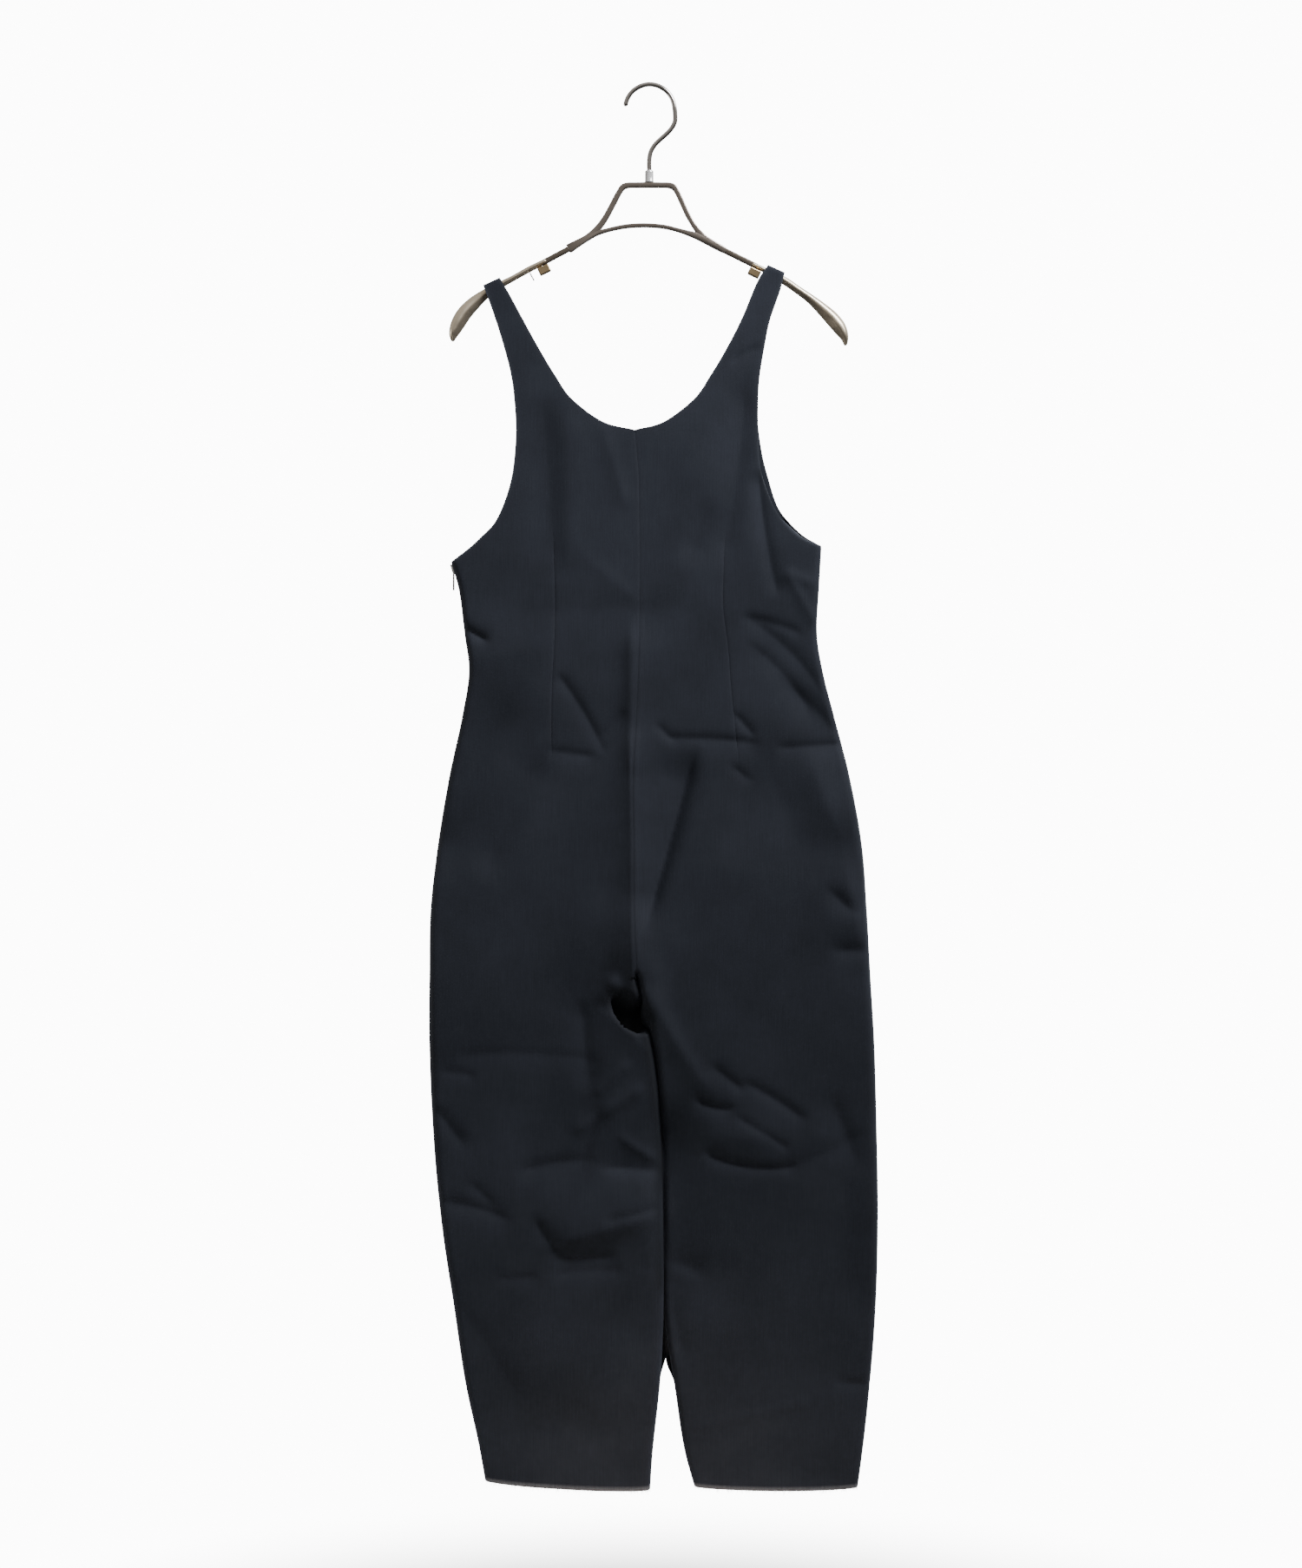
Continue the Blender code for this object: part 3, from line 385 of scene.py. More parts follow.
# ---------------------------------------- cloth panels
# The garment is cut in four: a front and a back for each side, each from the shoulder to the hem in one piece
# with no seam at the waist.  They are navy twill, sewn down the centre, the sides and inside the legs.
CLOTH = 1.4             # thickness
CAD_WALL = 1.6          # thickness of the solids' cloth, which sets how high a strap lies on the hanger
SEAT = 0.4              # room between the hanger and the strap that lies on it
SEAM_GAP = 0.3
LEG_GAP = 1.2
SEAM_STRIP = 4.0        # flat turn of the cloth beside a side seam or inseam, across the depth
ROUNDING = (0.026, 0.028)   # share of a panel's width that rounds over to its inner and its outer seam
EDGE_SHARE = 0.22       # share of that rounding that stays flat beside the centre seam or a free edge
HEM_BOW = 5.0           # how much lower the middle of a hem hangs than its ends
HEM_RISE = 90.0         # height over which that comes on
CROTCH_RISE = 8.0       # height over which the inseam's form becomes the centre seam's
ARMHOLE_RISE = 60.0     # height over which the side seam's form becomes the armhole's
CORNER_RELIEF = (0.6, 12.0)     # extra room between front and back at the crotch and underarm, and its reach
STRAP_LIP = 1.2         # depth at which a strap's turn over the hanger ends
SEAM_CALM = 3.0         # how near the centre seam the folds of both sides are made to meet
SEAM_SINK = 0.35        # how far the centre seam lies below the cloth beside it
# Below the knees the backs of the legs stay together further down than the fronts: drops of the start, the
# middle and the end of that stretch, and x of the line on which they meet.
BACK_LEGS_MEET = (1310, 1384, 1416, 18.6)
# A panel lies between its inner edge (centre seam or inseam) and its outer edge (armhole or side seam), given
# as drop and x on the right and on the left; level is the drop that the four panels share.
# Each row: name, level, then in_drop, in_x, out_drop and out_x on the right and the same four on the left.
LOWER_SECTIONS = [
    ("underarm",     515,    515,  -10.8,  522, -215.6,   515,  -10.8,  505,  187.4),
    ("low_chest",    550,    550,  -10.8,  552, -207.3,   550,  -10.8,  552,  184.6),
    ("rib",          590,    590,  -11.0,  598, -201.4,   590,  -11.0,  596,  182.4),
    ("above_waist",  645,    645,  -12.5,  645, -196.4,   645,  -12.5,  645,  189.6),
    ("waist",        690,    690,  -14.6,  690, -203.6,   690,  -14.6,  690,  201.2),
    ("below_waist",  760,    760,  -18.2,  755, -217.6,   760,  -18.2,  755,  217.8),
    ("high_hip",     830,    830,  -17.4,  830, -230.2,   830,  -17.4,  830,  231.4),
    ("hip",          900,    900,  -17.2,  900, -238.0,   900,  -17.2,  900,  236.8),
    ("crotch",       977,    977,  -13.4,  972, -239.4,   977,  -13.4,  972,  240.8),
    ("high_thigh",  1060,   1060,    5.8, 1052, -239.6,  1060,    5.8, 1052,  245.4),
    ("thigh",       1140,   1140,   13.6, 1140, -236.0,  1140,   13.6, 1140,  247.8),
    ("above_knee",  1240,   1240,   15.4, 1240, -227.0,  1240,   15.8, 1240,  249.2),
    ("knee",        1340,   1340,   15.6, 1340, -212.4,  1350,   17.4, 1340,  246.6),
    ("shin",        1420,   1420,   11.2, 1420, -200.2,  1425,   28.6, 1420,  240.6),
    ("above_hem",   1500,   1500,    2.8, 1494, -184.4,  1500,   40.6, 1500,  231.8),
    ("hem",         1538,   1536,    0.4, 1526, -178.8,  1532,   49.6, 1533,  227.2),
]
FRONT_SECTIONS = [
    ("strap_top",    212,    209, -163.4,  217, -181.6,   196,  129.6,  203,  148.0),
    ("strap_bend",   232,    229, -152.8,  233, -176.6,   214,  118.6,  224,  143.6),
    ("strap",        256,    256, -138.2,  256, -168.6,   252,  102.6,  256,  132.6),
    ("neck_side_3",  287,    287, -121.2,  287, -159.0,   287,   85.0,  290,  125.6),
    ("neck_side_2",  317,    317, -103.2,  317, -151.4,   317,   67.2,  320,  120.8),
    ("neck_side_1",  346,    346,  -82.0,  346, -147.6,   346,   46.4,  348,  119.2),
    ("neck_low",     368,    369,  -50.0,  375, -146.0,   369,   15.0,  378,  119.2),
    ("neck_centre",  390,    377.5, -16.0, 403, -147.2,   377.5, -16.0, 408,  120.4),
    ("chest_3",      425,    425,  -11.8,  443, -154.0,   425,  -11.8,  440,  127.4),
    ("chest_2",      455,    455,  -11.2,  478, -168.4,   455,  -11.2,  470,  141.2),
    ("chest_1",      485,    485,  -10.9,  502, -190.4,   485,  -10.9,  494,  164.4),
]
BACK_SECTIONS = [
    FRONT_SECTIONS[0],
    ("strap_bend",   232,    230, -154.4,  233, -175.6,   215,  121.0,  224,  143.0),
    ("strap",        256,    258, -142.0,  258, -166.4,   256,  107.0,  258,  131.6),
    ("scoop_side_2", 300,    304, -118.6,  304, -151.8,   304,   80.6,  304,  120.8),
    ("scoop_side_1", 346,    356,  -87.0,  350, -145.4,   356,   51.0,  350,  118.4),
    ("scoop_low",    385,    395,  -52.0,  392, -143.6,   395,   16.0,  392,  122.6),
    ("scoop_centre", 425,    408,  -14.4,  436, -150.6,   408,  -14.4,  428,  131.0),
    ("back_2",       455,    450,  -11.4,  476, -167.0,   450,  -11.4,  462,  142.6),
    ("back_1",       485,    485,  -10.9,  503, -191.0,   485,  -10.9,  490,  164.6),
]
LEVELS = {name: level for name, level, *_ in LOWER_SECTIONS + FRONT_SECTIONS + BACK_SECTIONS}
NECK_CORNER = {"front": "neck_centre", "back": "scoop_centre"}
# Half of the garment's depth down the garment: drop, half depth.
BODY_DEPTH = [(190, 9), (260, 9), (330, 10), (420, 12), (520, 14), (640, 15), (760, 18), (880, 23),
              (1000, 25), (1140, 23), (1300, 21), (1450, 16), (1550, 13)]
# The sewn waist darts, one in each front: x down the dart's line and, outside its two points, down the grain.
# drop, x on the right, x on the left
DART_LINES = [(205, -172, 138), (256, -153, 118), (320, -127, 94), (390, -112, 84), (477, -105, 83.6),
              (522, -104, 81.7), (567, -103, 80.8), (613, -104, 86.0), (658, -106.4, 89.3), (704, -107, 93.8),
              (752, -106.4, 98.8), (900, -112, 116), (1140, -116, 134), (1340, -104, 136), (1540, -92, 138)]
DART = (477, 752, 40, 1.4, 0.6)     # drops of its two points, its taper, half width and depth of its line
DART_COLUMNS = (-4, -2.4, -1.3, -0.6, 0, 0.6, 1.3, 2.4, 4)     # columns gathered along it, from its line
DART_STRIP = 4.5        # half width of the strip that they fill
DART_CLEAR = 5          # least room between that line and the panel's rounded edges
EDGE_STEPS = (0, 0.06, 0.16, 0.32, 0.56, 1.0)
ARCH_STEPS = 10         # rows of the strap's turn over the hanger
EDGE_HIGHLIGHT_REACH = 1.6         # how far in from a free edge the painted highlight reaches
SEAM_REACH = 1.2        # how far in a seam draws the cloth down
SEAM_HIGHLIGHT = 0.08         # how much of the painted highlight a seam gets, against a free edge

# The creases that hanging and wear have put into the fronts.  Each is a bowed stroke from one point to
# another; its cloth is pressed in (sink > 0) or stands out (sink < 0).  left and right are its reaches to the
# left and right of a falling stroke, seen from the front, or below and above a level one.
# A low power gives a sharp crease and a high one a flat-bottomed trough.
# x0, drop0, x1, drop1, bow, left, right, sink, power
FRONT_FOLDS = [
    # chest
    (-116, 350, -106, 530, 0, 26, 14, 2.6, 1.7),
    (-90, 350, -88, 525, 0, 12, 24, -1.8, 1.6),
    (-54, 366, -25, 462, 0, 10, 9, -1.4, 1.6),
    (-74, 514, -14, 564, 0, 14, 9, -1.0, 1.6),
    (104, 330, 82, 520, 3, 18, 12, 2.8, 1.6),
    (66, 462, 42, 520, 0, 14, 12, 2.2, 1.7),
    (120, 426, 140, 556, -3, 9, 7, 3.4, 1.4),
    (90, 303, 122, 287, 2, 6, 5, 1.4, 1.4),
    (147, 532, 182, 547, 0, 7, 5, -1.8, 1.4),
    (150, 533, 182, 590, 0, 7, 5, -1.8, 1.4),
    # waist
    (-206, 592, -176, 609, 0, 6, 5, 4.6, 1.3),
    (-160, 578, 52, 574, 3, 20, 14, 0.8, 1.6),
    (-186, 628, -124, 622, 0, 60, 26, -6.5, 1.5),
    (104, 582, 166, 600, 2, 7, 5, 2.2, 1.35),
    (106, 584, 192, 672, 9, 22, 8, 3.4, 1.35),
    (108, 612, 178, 694, 8, 22, 7, 2.8, 1.35),
    (150, 656, 214, 726, 4, 26, 11, 5.0, 1.4),
    # waist step and the short folds about it
    (8, 700, 28, 717, -1, 5, 5, 2.4, 1.3),
    (20, 715, 118, 720, 2, 11, 5, 3.2, 1.25),
    (142, 725, 216, 721, 0, 11, 5, 3.2, 1.25),
    (-110, 728, -58, 735, 0, 9, 5, 2.6, 1.25),
    (-99, 646, -50, 728, 3, 8, 5, 2.8, 1.3),
    (-26, 686, -52, 716, 0, 6, 5, 2.0, 1.3),
    (93, 688, 115, 712, 0, 5, 5, 2.6, 1.3),
    (90, 745, 112, 762, 0, 6, 5, 2.2, 1.3),
    # ridge beside the centre seam and the long groove at its left
    (-20, 592, -21, 740, 0, 9, 30, -6.0, 1.15),
    (-21, 716, -18, 966, 1, 19, 24, -9.5, 1.15),
    (-25, 930, -40, 980, 0, 7, 24, -2.4, 1.3),
    (-70, 950, -86, 1050, 0, 46, 46, 9.0, 2.0),
    (-104, 1030, -98, 1196, 0, 100, 88, 21.0, 1.6),
    (48, 738, -1, 914, 1, 32, 8, 12.5, 1.2),
    # hips
    (112, 720, 158, 826, 3, 90, 40, 9.0, 1.6),
    (176, 736, 210, 822, -3, 30, 24, -7.0, 1.5),
    (212, 850, 230, 950, 0, 44, 14, -8.0, 1.5),
    (196, 880, 224, 906, 0, 12, 9, 5.0, 1.4),
    (200, 946, 242, 946, 0, 10, 9, 3.6, 1.5),
    (-150, 672, -208, 800, -6, 34, 26, 5.0, 1.4),
    (-226, 790, -240, 860, 0, 10, 44, 8.0, 1.6),
    (-114, 738, -178, 860, -3, 20, 16, 4.8, 1.6),
    # crotch
    (-36, 974, -54, 1002, 0, 8, 9, -3.2, 1.5),
    (-50, 1014, -8, 1052, 4, 30, 5, -3.5, 1.2),
    (-2, 990, 66, 1100, -3, 16, 10, -4.0, 1.5),
    # right thigh and knee
    (-208, 1061, -56, 1068, 6, 9, 6, 1.4, 1.4),
    (-226, 1079, -190, 1085, 2, 6, 5, 2.0, 1.3),
    (-234, 1118, -202, 1160, 0, 8, 7, 3.2, 1.4),
    (-38, 1050, -44, 1168, 0, 30, 12, -1.2, 1.6),
    (-82, 1146, -8, 1096, 0, 7, 8, -3.6, 1.3),
    (-60, 1104, -22, 1070, 0, 6, 7, -2.6, 1.3),
    (-74, 1006, -66, 1096, 0, 12, 9, 4.0, 1.5),
    (-140, 1188, -62, 1176, 3, 13, 8, 5.2, 1.35),
    (-54, 1120, -72, 1174, 0, 9, 8, 4.0, 1.4),
    (-50, 1184, 14, 1188, 0, 8, 24, 8.0, 1.3),
    (-32, 1150, 10, 1178, 0, 6, 6, -2.8, 1.3),
    (-110, 1266, 8, 1234, 0, 14, 38, -12.0, 1.5),
    (-126, 1238, -92, 1280, -3, 11, 8, 5.0, 1.35),
    (-98, 1282, -38, 1279, -2, 10, 8, 5.4, 1.35),
    (-46, 1241, 12, 1227, 0, 8, 6, 3.2, 1.35),
    (-166, 1305, -122, 1302, 0, 8, 6, 2.4, 1.4),
    (-104, 1299, -26, 1297, 2, 9, 7, 2.6, 1.4),
    (-228, 1220, -152, 1241, 3, 11, 8, 4.0, 1.4),
    (-196, 1200, -168, 1225, 0, 8, 6, 2.6, 1.4),
    (-246, 1290, -140, 1440, 4, 30, 12, 2.6, 1.7),
    (-118, 1470, -20, 1462, 0, 44, 34, 4.0, 1.6),
    # left thigh and knee
    (50, 1108, 92, 1119, -4, 8, 6, 4.6, 1.3),
    (68, 1072, 103, 1099, 0, 8, 6, 3.4, 1.4),
    (104, 1090, 170, 1131, 2, 9, 6, 3.4, 1.4),
    (96, 1128, 152, 1162, 0, 5, 4, 2.4, 1.3),
    (66, 1150, 136, 1150, 0, 20, 18, -4.0, 1.7),
    (62, 1168, 160, 1182, -8, 8, 6, 4.6, 1.3),
    (150, 1183, 234, 1146, -2, 12, 8, 2.2, 1.5),
    (198, 1106, 228, 1182, 0, 16, 10, 3.4, 1.6),
    (214, 1180, 216, 1330, 0, 30, 20, 3.4, 1.7),
    (14, 1130, 22, 1330, 0, 10, 54, 18.0, 1.5),
    (-30, 1290, 18, 1294, 0, 14, 34, 4.0, 1.6),
    (22, 1286, 60, 1300, 0, 8, 12, 4.0, 1.4),
    (12, 1296, 56, 1309, 0, 7, 5, -1.0, 1.4),
    (24, 1328, 36, 1392, 0, 12, 12, 3.8, 1.6),
    (204, 1417, 246, 1421, 0, 10, 6, 3.8, 1.35),
    (48, 1468, 176, 1439, 0, 8, 6, -1.6, 1.5),
]
# Short hollows (depth > 0) and bulges (depth < 0) between the creases; a high power gives steep sides and a
# flat bottom, as in the deep pocket under the crotch, whose floor slips under its lower left lip.  A dent
# that slips is also darkened nearly black in and just round it, as painted shade.
# x, drop, half length, half width, degrees that its length falls to the right, depth, power, slip
FRONT_DENTS = [
    (-19, 1013, 25, 15, 47, 22.0, 4.0, 0.7),
    (-6, 984, 33, 22, 78, -4.5, 1.3, 0.0),
    (-38, 984, 9, 7, 60, -2.2, 1.2, 0.0),
    (-120, 600, 46, 26, 0, -1.8, 1.0, 0.0),
    (-84, 1404, 80, 54, 12, -9.5, 1.1, 0.0),
]
# Painted shade along the right leg's inner edge, as though it lay behind the left leg's: drops of the start
# and of the end of the painted stretch, and how far each takes to come and go; then the painted shade's reach
# inwards and its strength.
LEG_SHADE = (968, 1330, 12, 20, 8.0, 0.8)
# Creases of the same kinds on the backs, which no view in the photo shows: strap to seat, seat, knees, shins.
BACK_FOLDS = [
    (-112, 420, -108, 560, 0, 14, 10, 2.6, 1.6),
    (84, 410, 74, 548, 2, 15, 11, 2.4, 1.6),
    (-52, 430, -24, 520, 0, 9, 8, -1.8, 1.5),
    (-176, 560, -120, 616, 4, 10, 7, 2.8, 1.4),
    (150, 548, 112, 622, -3, 9, 8, 3.0, 1.4),
    (-60, 655, 40, 672, 6, 12, 7, 3.6, 1.35),
    (-196, 640, -120, 702, -6, 12, 8, 4.2, 1.4),
    (186, 650, 110, 718, 6, 12, 9, 4.4, 1.4),
    (60, 690, 190, 706, 3, 11, 6, 3.2, 1.3),
    (-196, 724, -70, 716, 2, 10, 6, 3.0, 1.3),
    (-40, 806, -124, 932, 8, 24, 18, 5.0, 1.6),
    (14, 812, 106, 938, -8, 22, 18, 5.2, 1.6),
    (-16, 700, -17, 940, 0, 10, 10, -2.6, 1.5),
    (-190, 880, -226, 960, 2, 18, 12, 4.0, 1.6),
    (176, 872, 224, 966, -2, 16, 14, 4.2, 1.6),
    (-30, 1000, -96, 1044, 3, 10, 8, 4.0, 1.4),
    (22, 1004, 96, 1050, 3, 9, 8, 4.2, 1.4),
    (-208, 1064, -110, 1080, -4, 9, 7, 2.6, 1.4),
    (-150, 1130, -66, 1172, 6, 12, 8, 4.8, 1.4),
    (-196, 1172, -96, 1204, 4, 12, 9, 4.4, 1.4),
    (88, 1132, 178, 1176, 6, 12, 8, 5.0, 1.4),
    (60, 1196, 168, 1176, -3, 11, 8, 4.2, 1.4),
    (-120, 1232, -20, 1212, 3, 16, 12, -4.6, 1.6),
    (120, 1226, 226, 1214, 2, 15, 12, -4.4, 1.6),
    (-180, 1320, -84, 1408, 8, 26, 18, 4.4, 1.7),
    (92, 1310, 190, 1400, 8, 24, 20, 4.4, 1.7),
    (-60, 1390, -30, 1470, 0, 12, 12, 2.8, 1.6),
    (150, 1440, 226, 1452, 0, 10, 8, 2.6, 1.5),
]


def ease(t):
    """0 to 1 with level ends: 3t^2 - 2t^3."""
    t = np.clip(t, 0.0, 1.0)
    return t * t * (3 - 2 * t)


def fold_sink(x, drop, folds):
    """How far the creases press the cloth in: each adds sink * exp(-|offset / reach|^power) * fade.

    The offset is measured square to the stroke from its bowed line, and the fade eases it away past its ends.
    """
    total = np.zeros_like(x)
    for x0, drop0, x1, drop1, bow, left, right, sink, power in folds:
        run = np.array([x1 - x0, drop1 - drop0], float)
        length = np.hypot(*run)
        along, across = run / length, np.array([run[1], -run[0]]) / length
        t = ((x - x0) * along[0] + (drop - drop0) * along[1]) / length
        inside = np.clip(t, 0, 1)
        off = (x - x0) * across[0] + (drop - drop0) * across[1] - bow * 4 * inside * (1 - inside)
        soft = (left + right) / 2 / length
        fade = ease((t + soft) / (2.5 * soft)) * ease((1 + soft - t) / (2.5 * soft))
        total += sink * np.exp(-np.abs(off / np.where(off < 0, left, right)) ** power) * fade
    return total


def dent_sink(x, drop, dents):
    """Sum of depth * exp(-((along / half length)^2 + (across / half width)^2)^power) from each dent's centre.

    The second result is how far the points slip to the lower left, slip times that depth, and the third is a
    painted-shade mask, 1 in a slipping pocket and just round it, where the cloth's colour is darkened to near
    black.
    """
    total, slipped, painted_shade = np.zeros_like(x), np.zeros_like(x), np.zeros_like(x)
    for x0, drop0, half_length, half_width, lean, depth, power, slip in dents:
        c, s = math.cos(math.radians(lean)), math.sin(math.radians(lean))
        along = ((x - x0) * c + (drop - drop0) * s) / half_length
        across = ((drop - drop0) * c - (x - x0) * s) / half_width
        pressed = depth * np.exp(-(along ** 2 + across ** 2) ** power)
        total += pressed
        slipped += slip * pressed
        painted_shade += (slip > 0) * np.exp(-((along ** 2 + across ** 2) / 1.7) ** 3)
    return total, slipped, painted_shade


def ripple(x, drop):
    """Slight unevenness of hanging cloth: a few crossed sine waves, 40 to 150 mm long, about 0.3 mm high."""
    return (0.22 * np.sin(x / 17 + drop / 61 + 1.3) + 0.20 * np.sin(x / 29 - drop / 37 + 0.4)
            + 0.14 * np.sin(x / 11 + drop / 97 + 2.2) + 0.10 * np.sin(drop / 13 + x / 41))


def shoulder_top(side, x):
    """Drop of the top of a shoulder end under the strap."""
    line = shoulder_line(side)
    slope = np.hypot(*np.gradient(line[:, :2], axis=0).T) / np.abs(np.gradient(line[:, 0]))
    order = np.argsort(line[:, 0])
    return np.interp(x, line[order, 0], (line[:, 1] - line[:, 2] / 2 * slope)[order])


def panel_edges(side, face, rows):
    """Edges of a panel at evenly spaced levels: level, drop and x of the inner and of the outer edge."""
    sections = (FRONT_SECTIONS if face == "front" else BACK_SECTIONS) + LOWER_SECTIONS
    names = [row[0] for row in sections]
    levels = [row[1] for row in sections]
    start = 2 if side == "right" else 6
    table = np.array([row[start:start + 4] for row in sections], float)
    for k in (0, 2):
        table[0, k] = shoulder_top(side, table[0, k + 1]) - CAD_WALL - SEAT
    corners = ((names.index(NECK_CORNER[face]), names.index("crotch")), (names.index("underarm"),))
    turns = [LEVELS[name] for name in (NECK_CORNER[face], "crotch", "underarm")]
    at = np.unique(np.concatenate([np.linspace(levels[0], levels[-1], rows), turns]))
    in_drop, in_x, out_drop, out_x = (smooth(levels, table[:, k], corners[k // 2], at) for k in range(4))
    if face == "back":
        top, middle, end, between = BACK_LEGS_MEET
        meet = ease((at - top) / (middle - top)) * ease((end - at) / (end - middle))
        in_x += (between - in_x) * meet
    return at, in_drop, in_x, out_drop, out_x


def edge_columns(reach, stand, seam_y, full, turns):
    """Columns beside one edge, from the edge inwards: their distance from it and how far out they stand.

    A seam at the garment's middle plane (stand 0) has a flat strip across the depth and then a quarter
    ellipse; a free edge or the centre seam (stand 1) lies at full depth; between, the two are blended.
    """
    flat = np.array(EDGE_STEPS + (1.0,) * turns)[None]
    turn = np.radians(np.concatenate([[90.0] * len(EDGE_STEPS), np.linspace(90, 0, turns + 1)[1:]]))[None]
    reach, stand, full = reach[:, None], stand[:, None], full[:, None]
    away = reach * (1 - np.sin(turn) * (1 - EDGE_SHARE * stand)) * flat
    turned = seam_y[:, None] + (SEAM_STRIP - seam_y[:, None]) * flat + (full - SEAM_STRIP) * np.cos(turn)
    return away, turned + (full - turned) * stand


def arch_strap(grid):
    """Carries the top of a strap over the hanger in a quarter turn that ends flat at the shoulder seam."""
    top, below = grid[0], grid[1]
    angle = np.radians(np.linspace(90, 90 / ARCH_STEPS, ARCH_STEPS))[:, None]
    arch = np.repeat(top[None], ARCH_STEPS, axis=0)
    arch[..., 1] = STRAP_LIP + (top[:, 1] - STRAP_LIP) * np.cos(angle)
    for k in (0, 2):
        arch[..., k] = top[:, k] + (below[:, k] - top[:, k]) * 0.5 * (1 - np.sin(angle))
    lip = top.copy()
    lip[:, 1] = SEAM_GAP / 2
    return np.concatenate([lip[None], arch, grid[1:]])


def panel_points(side, face, rows, turns, middle):
    """Outer surface of a panel in millimetres, rows from shoulder to hem, and its masks of painted edge
    highlight and painted shade.

    Across a row the cloth leaves the inner edge, lies flat over the middle, with its columns gathered along
    the dart's line, and rounds to the outer edge; folds, the dart, sunk seams and ripples move it in.
    """
    hand = -1 if side == "right" else 1
    level, in_drop, in_x, out_drop, out_x = panel_edges(side, face, rows)
    in_leg = level >= LEVELS["crotch"]
    stand_in = np.where(in_leg, 0.0, ease((LEVELS["crotch"] - in_drop) / CROTCH_RISE))
    stand_out = ease((LEVELS["underarm"] - level) / ARMHOLE_RISE)
    in_x = in_x + hand * np.where(in_leg, LEG_GAP, SEAM_GAP) / 2
    width = np.hypot(out_x - in_x, out_drop - in_drop)
    relief, relief_reach = CORNER_RELIEF
    seam_y = SEAM_GAP / 2 + sum(relief * np.exp(-((level - LEVELS[corner]) / relief_reach) ** 2)
                                for corner in ("crotch", "underarm"))
    drops, depths = zip(*BODY_DEPTH)
    full_row = smooth(drops, depths, (), np.clip(level, drops[0], drops[-1]))
    low, high = ROUNDING[0] * width, (1 - ROUNDING[1]) * width
    away_in, y_in = edge_columns(low, stand_in, seam_y, full_row, turns)
    away_out, y_out = edge_columns(width - high, stand_out, seam_y, full_row, turns)

    dart_drop, dart_right, dart_left = np.array(DART_LINES, float).T
    dart_x = smooth(dart_drop, dart_right if side == "right" else dart_left, (), level)
    line = np.abs(dart_x - in_x) * width / np.abs(out_x - in_x)
    line = np.clip(line, low + DART_CLEAR, high - DART_CLEAR)[:, None]
    share = (np.arange(middle) + 1) / (middle + 1)
    inner_part = low[:, None] + (line - DART_STRIP - low[:, None]) * share
    outer_part = line + DART_STRIP + (high[:, None] - line - DART_STRIP) * share
    middle_columns = np.concatenate([inner_part, line + np.array(DART_COLUMNS)[None], outer_part], axis=1)
    from_in = np.concatenate([away_in, middle_columns, width[:, None] - away_out[:, ::-1]], axis=1)
    flat_y = np.repeat(full_row[:, None], middle_columns.shape[1], axis=1)
    y = np.concatenate([y_in, flat_y, y_out[:, ::-1]], axis=1)

    share = from_in / width[:, None]
    x = in_x[:, None] + (out_x - in_x)[:, None] * share
    bow = HEM_BOW * (4 * share * (1 - share)) ** 0.6 * ease((level - LEVELS["hem"]) / HEM_RISE + 1)[:, None]
    drop = in_drop[:, None] + (out_drop - in_drop)[:, None] * share + bow
    full = full_row[:, None]
    clear = np.clip((y - SEAM_STRIP) / (full - SEAM_STRIP), 0, 1)
    by_seam = (stand_in * (level > LEVELS[NECK_CORNER[face]]))[:, None] * np.exp(-(from_in / SEAM_CALM) ** 2)
    folds = FRONT_FOLDS if face == "front" else BACK_FOLDS
    sink = fold_sink(x + (in_x[:, None] - x) * by_seam, drop, folds) + ripple(x, drop)
    painted_shade = np.zeros_like(x)
    if face == "front":
        dents, slipped, painted_shade = dent_sink(x, drop, FRONT_DENTS)
        sink += dents
        if side == "right":
            # Painted shade along the right leg's inner edge.
            start, end, come, go, reach, strength = LEG_SHADE
            shaded = ease((drop - start) / come) * ease((end - drop) / go)
            painted_shade = np.maximum(painted_shade, strength * shaded * np.exp(-(from_in / reach) ** 2))
        x, drop = x - slipped * clear, drop + slipped * clear
        top, end, taper, half, deep = DART
        sewn = ease((drop - top) / taper) * ease((end - drop) / taper)
        sink += deep * np.exp(-np.abs((from_in - line) / half)) * sewn
    from_out = width[:, None] - from_in
    below_neck = (level > LEVELS[NECK_CORNER[face]])[:, None]
    below_arm = (level > LEVELS["underarm"])[:, None]
    seam_in = np.exp(-from_in / SEAM_REACH) * below_neck
    seam_out = np.exp(-from_out / SEAM_REACH) * below_arm
    room = np.clip(y - SEAM_STRIP / 2, 0.01, None)
    pressed = np.clip(sink, 0, None)
    y = y - np.where(sink > 0, pressed * (1 + (pressed / room) ** 4) ** -0.25, sink * clear)
    y = y - SEAM_SINK * seam_in * stand_in[:, None]
    # Mask of the painted highlight along free edges and, faintly, along seams.
    edge = np.maximum((1 - below_neck) * np.exp(-from_in / EDGE_HIGHLIGHT_REACH),
                      (1 - below_arm) * np.exp(-from_out / EDGE_HIGHLIGHT_REACH))
    edge = np.maximum(edge, SEAM_HIGHLIGHT * np.maximum(seam_in, seam_out))
    edge, painted_shade = (np.concatenate([np.repeat(mask[:1], ARCH_STEPS + 1, axis=0), mask[1:]])
                    for mask in (edge, painted_shade))
    return arch_strap(np.stack([x, y, drop], axis=-1)), edge, painted_shade


